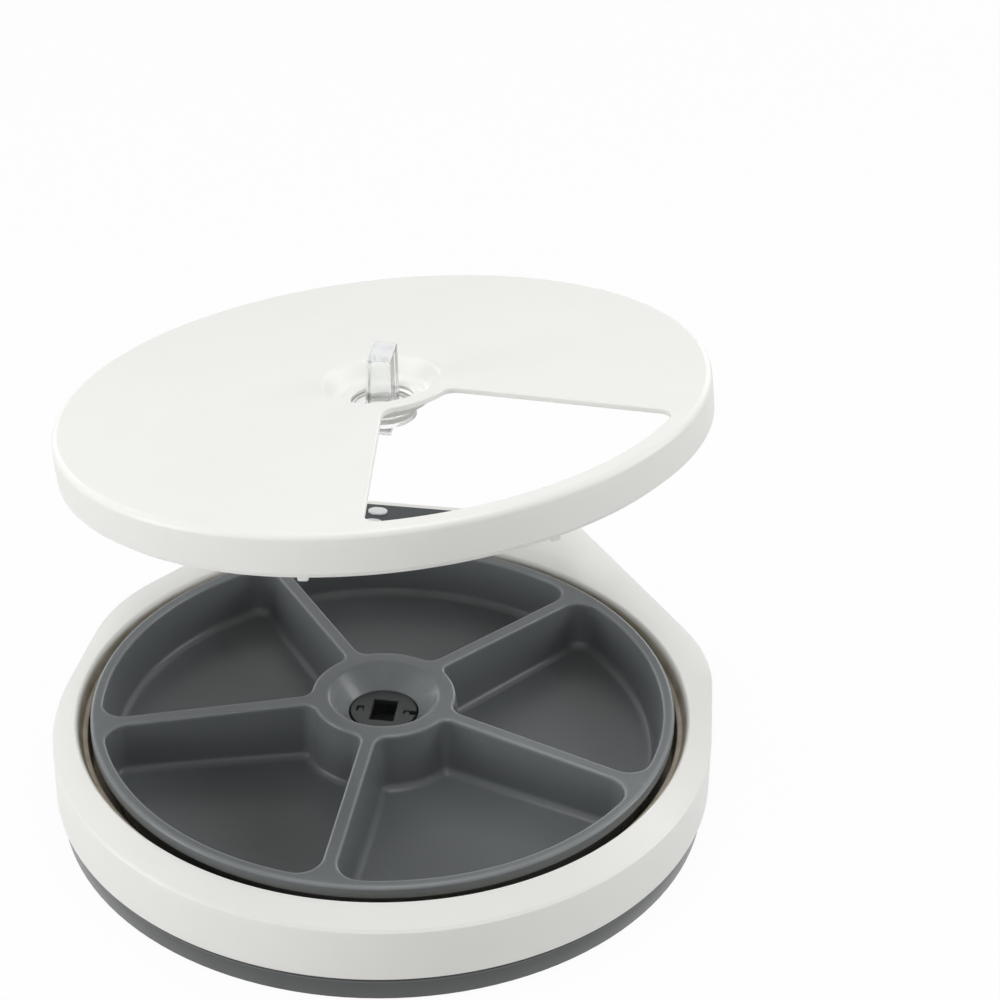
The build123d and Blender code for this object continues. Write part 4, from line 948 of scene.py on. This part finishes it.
# %% [markdown]
# ## Pips under the lid, and holding it open
# Four small pips stand under the lid's lip. They could be boxes with bevelled edges, but a sphere
# with flattened sines gives a soft block in one formula. The whole lid is made closed and level,
# where its sizes are plain, and then carried by the lift and tilt of its two joints, so that it
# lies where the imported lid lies.

# %% Lid
PIP_TURNS = np.radians([-94.0, -51.4, 86.0, 128.6])
PIP_HALF = (1.0, 2.3, 1.7)
PIP_POWER = 1 / 3
WINDOW_ANGLE = math.radians(-48.85)
LIFT = -joints["lid_lift"]["range_m"][0] / MM
TILT = -math.radians(joints["lid_tilt"]["range_deg"][0])
TILT_AXIS = np.array(joints["lid_tilt"]["axis"])
TILT_PIVOT = np.array(joints["lid_tilt"]["pos_m"]) / MM - (0, AXIS_Y, 0)


def pip():
    """A small rounded block: a sphere whose sines and cosines are flattened by a power."""
    turn = np.linspace(0, 2 * math.pi, 33)[:-1]
    lean = np.linspace(-math.pi / 2, math.pi / 2, 17)[:, None]

    def flat(values):
        return np.sign(values) * np.abs(values) ** PIP_POWER

    x = PIP_HALF[0] * flat(np.cos(lean)) * flat(np.cos(turn))
    y = PIP_HALF[1] * flat(np.cos(lean)) * flat(np.sin(turn))
    z = PIP_HALF[2] * flat(np.sin(lean)) * np.ones_like(turn)
    middle = ((LIP_IN + LIP_OUT) / 2, 0.0, LID_LIP_Z)
    return loft(np.stack([x, y, z], -1) + middle)


def held_open(points):
    """Closed-lid points raised by the lift, then turned about the tilt axis: the part along the
    axis stays, and the rest is mixed with its cross product by cosine and sine."""
    arm = points + (0, 0, LIFT) - TILT_PIVOT
    along = (arm @ TILT_AXIS)[:, None] * TILT_AXIS
    swung = math.cos(TILT) * (arm - along) + math.sin(TILT) * np.cross(TILT_AXIS, arm)
    return TILT_PIVOT + along + swung


patches = all_round([strip(well_profile), strip(edge_profile)], MEALS, WINDOW_ANGLE)
patches += all_round(window_sector(), 1, WINDOW_ANGLE)
for k in range(1, MEALS):
    patches += all_round(plain_sector, 1, WINDOW_ANGLE + k * SECTOR)
for turn in PIP_TURNS:
    patches += all_round([pip()], 1, turn)
make_piece("moulded_lid", patches, "lid", white_plastic, ["lid_shell"], held_open)

# %% [markdown]
# ## The base's outline
# From above the base is a circle in front and a polygon with rounded corners behind. It could be
# drawn as a curve and filled. Here it is a function of how far it is moved inwards, which always
# gives the same number of points, so its loops can be lofted.

# %% Base outline
BASE_R = 160.0
SIDE_TURN = math.radians(3)
DIAG_TURN = math.radians(35)
DIAG_OUT = 173.0
REAR_OUT = 200.0
CORNER_R = 95.0
REAR_CORNER_R = 30.0


def meeting(turn_a, out_a, turn_b, out_b):
    """Where two straight edges meet, each given by its outward normal and its distance out."""
    spread = math.sin(turn_b - turn_a)
    return np.array([(out_a * math.sin(turn_b) - out_b * math.sin(turn_a)) / spread,
                     (out_b * math.cos(turn_a) - out_a * math.cos(turn_b)) / spread])


def corner_arc(point, turn_a, turn_b, radius):
    """An arc that touches both edges at a corner, from one edge's normal to the other's."""
    half = (turn_b - turn_a) / 2
    middle = turn_a + half
    centre = point - radius / math.cos(half) * np.array([math.cos(middle), math.sin(middle)])
    return arc(centre, radius, turn_a, turn_b, 18)


def base_outline(inset):
    """The base from above moved inwards by inset: side, slanted edge and rear with their corner
    arcs, the same mirrored, and the round front."""
    radius, diag, rear = BASE_R - inset, DIAG_OUT - inset, REAR_OUT - inset
    side_corner = meeting(SIDE_TURN, radius, DIAG_TURN, diag)
    rear_corner = meeting(DIAG_TURN, diag, math.pi / 2, rear)
    side_arc = corner_arc(side_corner, SIDE_TURN, DIAG_TURN, CORNER_R - inset)
    rear_arc = corner_arc(rear_corner, DIAG_TURN, math.pi / 2, REAR_CORNER_R - inset)
    start = radius * np.array([math.cos(SIDE_TURN), math.sin(SIDE_TURN)])
    rear_middle = np.array([0.0, rear])
    half = np.concatenate([
        start[None], between(start, side_arc[0], 14), side_arc,
        between(side_arc[-1], rear_arc[0], 40), rear_arc, between(rear_arc[-1], rear_middle, 40),
    ])
    front = arc((0, 0), radius, math.pi - SIDE_TURN, 2 * math.pi + SIDE_TURN, 150)[1:-1]
    return np.concatenate([half, rear_middle[None], half[::-1] * (-1, 1), front])


BASE_PLAN = base_outline(0.0)
print("points in the base's outline:", len(BASE_PLAN))

# %% [markdown]
# ## The deck
# Round the well the case's top falls to the outline, and behind it is a flat slope that carries the
# control panel. It could be made of flat facets, but they would meet in creases that the real
# moulding doesn't have. Here the height is worked out along each radius, so the fall changes
# smoothly from the sides to the rear, with a pit under the panel, which is a piece of its own.

# %% Deck
RIM_R = 148.0
WIDE_Z = CASE_TOP_Z - 9.2
FLAT_DECK_TURNS = (math.radians(20.5), math.radians(37))
DECK_SOFT = (0.05, 0.2)
PANEL_FRONT_R = 158.5
PANEL_REAR = 192.7
PANEL_HALF = (52.0, 56.0)
PIT_DEPTH = 9.0
PIT_INSIDE = (2.2, 4.2)


def eased(values, low, high):
    """0 below low, 1 above high, and a smooth S between them."""
    share = np.clip((values - low) / (high - low), 0, 1)
    return share ** 2 * (3 - 2 * share)


def deck_height(points):
    """Along each radius the deck is level out to a start line and falls straight from there to the
    outline. The start is a straight line behind and bends to the rim's circle at the sides. The
    share s of the fall becomes (s + sqrt(s^2 + soft^2)) / 2, so it starts without a crease."""
    x, y = points[..., 0], points[..., 1]
    angle = np.arctan2(BASE_PLAN[:, 1], BASE_PLAN[:, 0])
    order = np.argsort(angle)
    turn = np.arctan2(y, x)
    far = np.interp(turn, angle[order], np.hypot(*BASE_PLAN[order].T), period=2 * math.pi)
    from_rear = np.abs(turn - math.pi / 2)
    beside = eased(from_rear, *FLAT_DECK_TURNS)
    straight = 1 / np.cos(np.minimum(from_rear, FLAT_DECK_TURNS[1]))
    start = RIM_R * (beside + (1 - beside) * straight)
    share = (np.hypot(x, y) - start) / (far - start)
    soft = DECK_SOFT[0] * (1 - beside) + DECK_SOFT[1] * beside * eased(y, 0.0, RIM_R)
    share = (share + np.sqrt(share ** 2 + soft ** 2)) / 2
    return CASE_TOP_Z - (CASE_TOP_Z - WIDE_Z) * np.clip(share, 0, 1)


def panel_pit(points):
    """How far the deck sinks under the panel: nothing outside it, the full depth well inside."""
    x, y = points[..., 0], points[..., 1]
    half = np.interp(y, [PANEL_FRONT_R, PANEL_REAR], PANEL_HALF)
    lengthwise = np.minimum(np.hypot(x, y) - PANEL_FRONT_R, PANEL_REAR - y)
    return PIT_DEPTH * eased(np.minimum(lengthwise, half - np.abs(x)), *PIT_INSIDE)


print("the deck falls by", round(CASE_TOP_Z - WIDE_Z, 1), "mm")

# %% [markdown]
# ## The case
# The white case is one thin moulding: a tub for the tray, a rim, the deck and an outer wall that
# laps over the dark bottom. It could be a solid that is hollowed out. Here it is one long profile
# carried round the outline, along the outside and back along the inside until it closes on itself,
# so the wall has a thickness everywhere.

# %% Well and rim
HUB_HOLE_R = 18.2
TUB_RINGS = (60.0, 120.0)
TUB_WALL_R = 142.6
TUB_FLOOR_Z = TRAY_BOTTOM - 3.5
TUB_BELOW_Z = TUB_FLOOR_Z - 2.0
LEDGE_Z = CASE_TOP_Z - 8.0
LEDGE_R = (143.0, 145.6)
WELL_CORNERS = {1: 2.0, 2: 0.7, 3: 0.6}
RIM_FOOT = (147.6, 1.3)
RIM_EDGE = 1.2
BASE_RING = BASE_PLAN / np.hypot(*BASE_PLAN.T)[:, None]


def circle(radius, height):
    """A level circle, or one with a height for each point, at the outline's angles."""
    return raised(radius * BASE_RING, height)


def well_loops(rim_top):
    """From the hub's hole over the tub's floor, up its wall, over the ledge and round the rim."""
    loops = [circle(HUB_HOLE_R, TUB_BELOW_Z)]
    loops += [circle(radius, TUB_FLOOR_Z) for radius in (HUB_HOLE_R, *TUB_RINGS)]
    wall = [(TUB_RINGS[-1], TUB_FLOOR_Z), (TUB_WALL_R, TUB_FLOOR_Z), (LEDGE_R[0], LEDGE_Z),
            (LEDGE_R[1], LEDGE_Z), (RIM_R, CASE_TOP_Z)]
    loops += [circle(*point) for point in rounded(wall, WELL_CORNERS)[1:-1]]
    loops.append(circle(RIM_FOOT[0], rim_top - RIM_FOOT[1]))
    for turn in np.linspace(0.25, math.pi / 2, 5):
        radius = RIM_R + RIM_EDGE * (1 - math.cos(turn))
        loops.append(circle(radius, rim_top - RIM_EDGE * (1 - math.sin(turn))))
    return loops


rim_heights = deck_height(circle(RIM_R + RIM_EDGE, 0.0))
print("loops in the well:", len(well_loops(rim_heights)))

# %% Deck and outer wall
DECK_LOOPS = 33
DECK_EDGE_ROUND = 1.0
BROW_TURN = math.radians(50)
BROW_IN, BROW_START, BROW_FALL = 0.8, 0.4, 1.2
WALL_HEIGHTS = (30.0, 20.0)
SPLIT_Z = 15.5
LAP_Z = SPLIT_Z - 0.75
LAP_T = 0.8
LAP_ROUND = 0.3
LAP_RISE = 1.0
CASE_WALL = 2.5


def deck_loops():
    """Loops from the rim's circle to the outline, at the deck's height less the panel's pit."""
    rim_plan, edge_plan = (RIM_R + RIM_EDGE) * BASE_RING, base_outline(DECK_EDGE_ROUND)
    plans = morph(rim_plan, edge_plan, np.linspace(0, 1, DECK_LOOPS + 1)[1:])
    return [raised(plan, deck_height(plan) - panel_pit(plan)) for plan in plans]


def wall_loops(brow):
    """From the deck's edge round a soft brow, down the wall and round its lower edge, which laps
    over the bottom, to the inside of the seam."""
    loops = []
    for turn in np.linspace(BROW_TURN, 0, 7):
        inset = BROW_IN * (1 - math.cos(turn)) / (1 - math.cos(BROW_TURN))
        fall = BROW_START + BROW_FALL * (1 - math.sin(turn) / math.sin(BROW_TURN))
        loops.append(raised(base_outline(inset), brow - fall))
    loops += [raised(BASE_PLAN, height) for height in (*WALL_HEIGHTS, LAP_Z + LAP_RISE)]
    for turn in np.linspace(0, math.pi / 2, 5)[1:]:
        plan = base_outline(LAP_ROUND * (1 - math.cos(turn)))
        loops.append(raised(plan, LAP_Z + LAP_ROUND * (1 - math.sin(turn))))
    seam = ((LAP_T, LAP_Z), (LAP_T, SPLIT_Z), (CASE_WALL, SPLIT_Z))
    return loops + [raised(base_outline(inset), height) for inset, height in seam]


print("the case laps over the bottom by", SPLIT_Z - LAP_Z, "mm")

# %% Base case
INSIDE_R = 145.5
INSIDE_STEPS = 4
DECK_T = CASE_WALL + 1.0
BROW_ROOM = 6.0
RIM_INSIDE = (RIM_R + 1.0, 4.0)
LEDGE_T = 3.0


def inside_loops(deck, rim_top):
    """Back along the inside: under the deck at its thickness, under the rim and down the tub."""
    loops = [raised(base_outline(CASE_WALL), deck[-1][:, 2] - BROW_ROOM)]
    loops += [loop - (0, 0, DECK_T) for loop in deck[::-INSIDE_STEPS]]
    loops.append(circle(RIM_INSIDE[0], rim_top - RIM_INSIDE[1]))
    return loops + [circle(INSIDE_R, LEDGE_Z - LEDGE_T), circle(INSIDE_R, TUB_BELOW_Z)]


deck = deck_loops()
case_loops = (well_loops(rim_heights) + deck + wall_loops(deck[-1][:, 2])
              + inside_loops(deck, rim_heights))
make_piece("moulded_case", [loft(case_loops, ring=True)], "base", case_plastic,
           ["base_shell"])

# %% [markdown]
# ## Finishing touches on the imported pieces
# A perfectly sharp edge never catches the light as a moulded one does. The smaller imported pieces
# could be rebuilt too, but a weld and a narrow bevel as modifiers do for them and leave their
# meshes as they are. Blender narrows the bevel where short edges leave no room.

# %% Bevels
BEVEL_MM = {"control_fascia": 0.35, "lcd_lens": 0.35, "battery_door": 0.35, "base_plate": 0.5}


def soften(node, width_mm):
    """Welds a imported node's triangles and rounds edges that turn by more than the crease angle."""
    piece = nodes[node]
    merge = piece.modifiers.new("weld", "WELD")
    merge.merge_threshold = WELD_MM * MM
    bevel = piece.modifiers.new("edge_round", "BEVEL")
    bevel.width = width_mm * MM
    bevel.segments = 3
    bevel.limit_method = "ANGLE"
    bevel.angle_limit = CREASE
    bevel.harden_normals = True


for node, width_mm in BEVEL_MM.items():
    soften(node, width_mm)
print("softened:", ", ".join(BEVEL_MM))
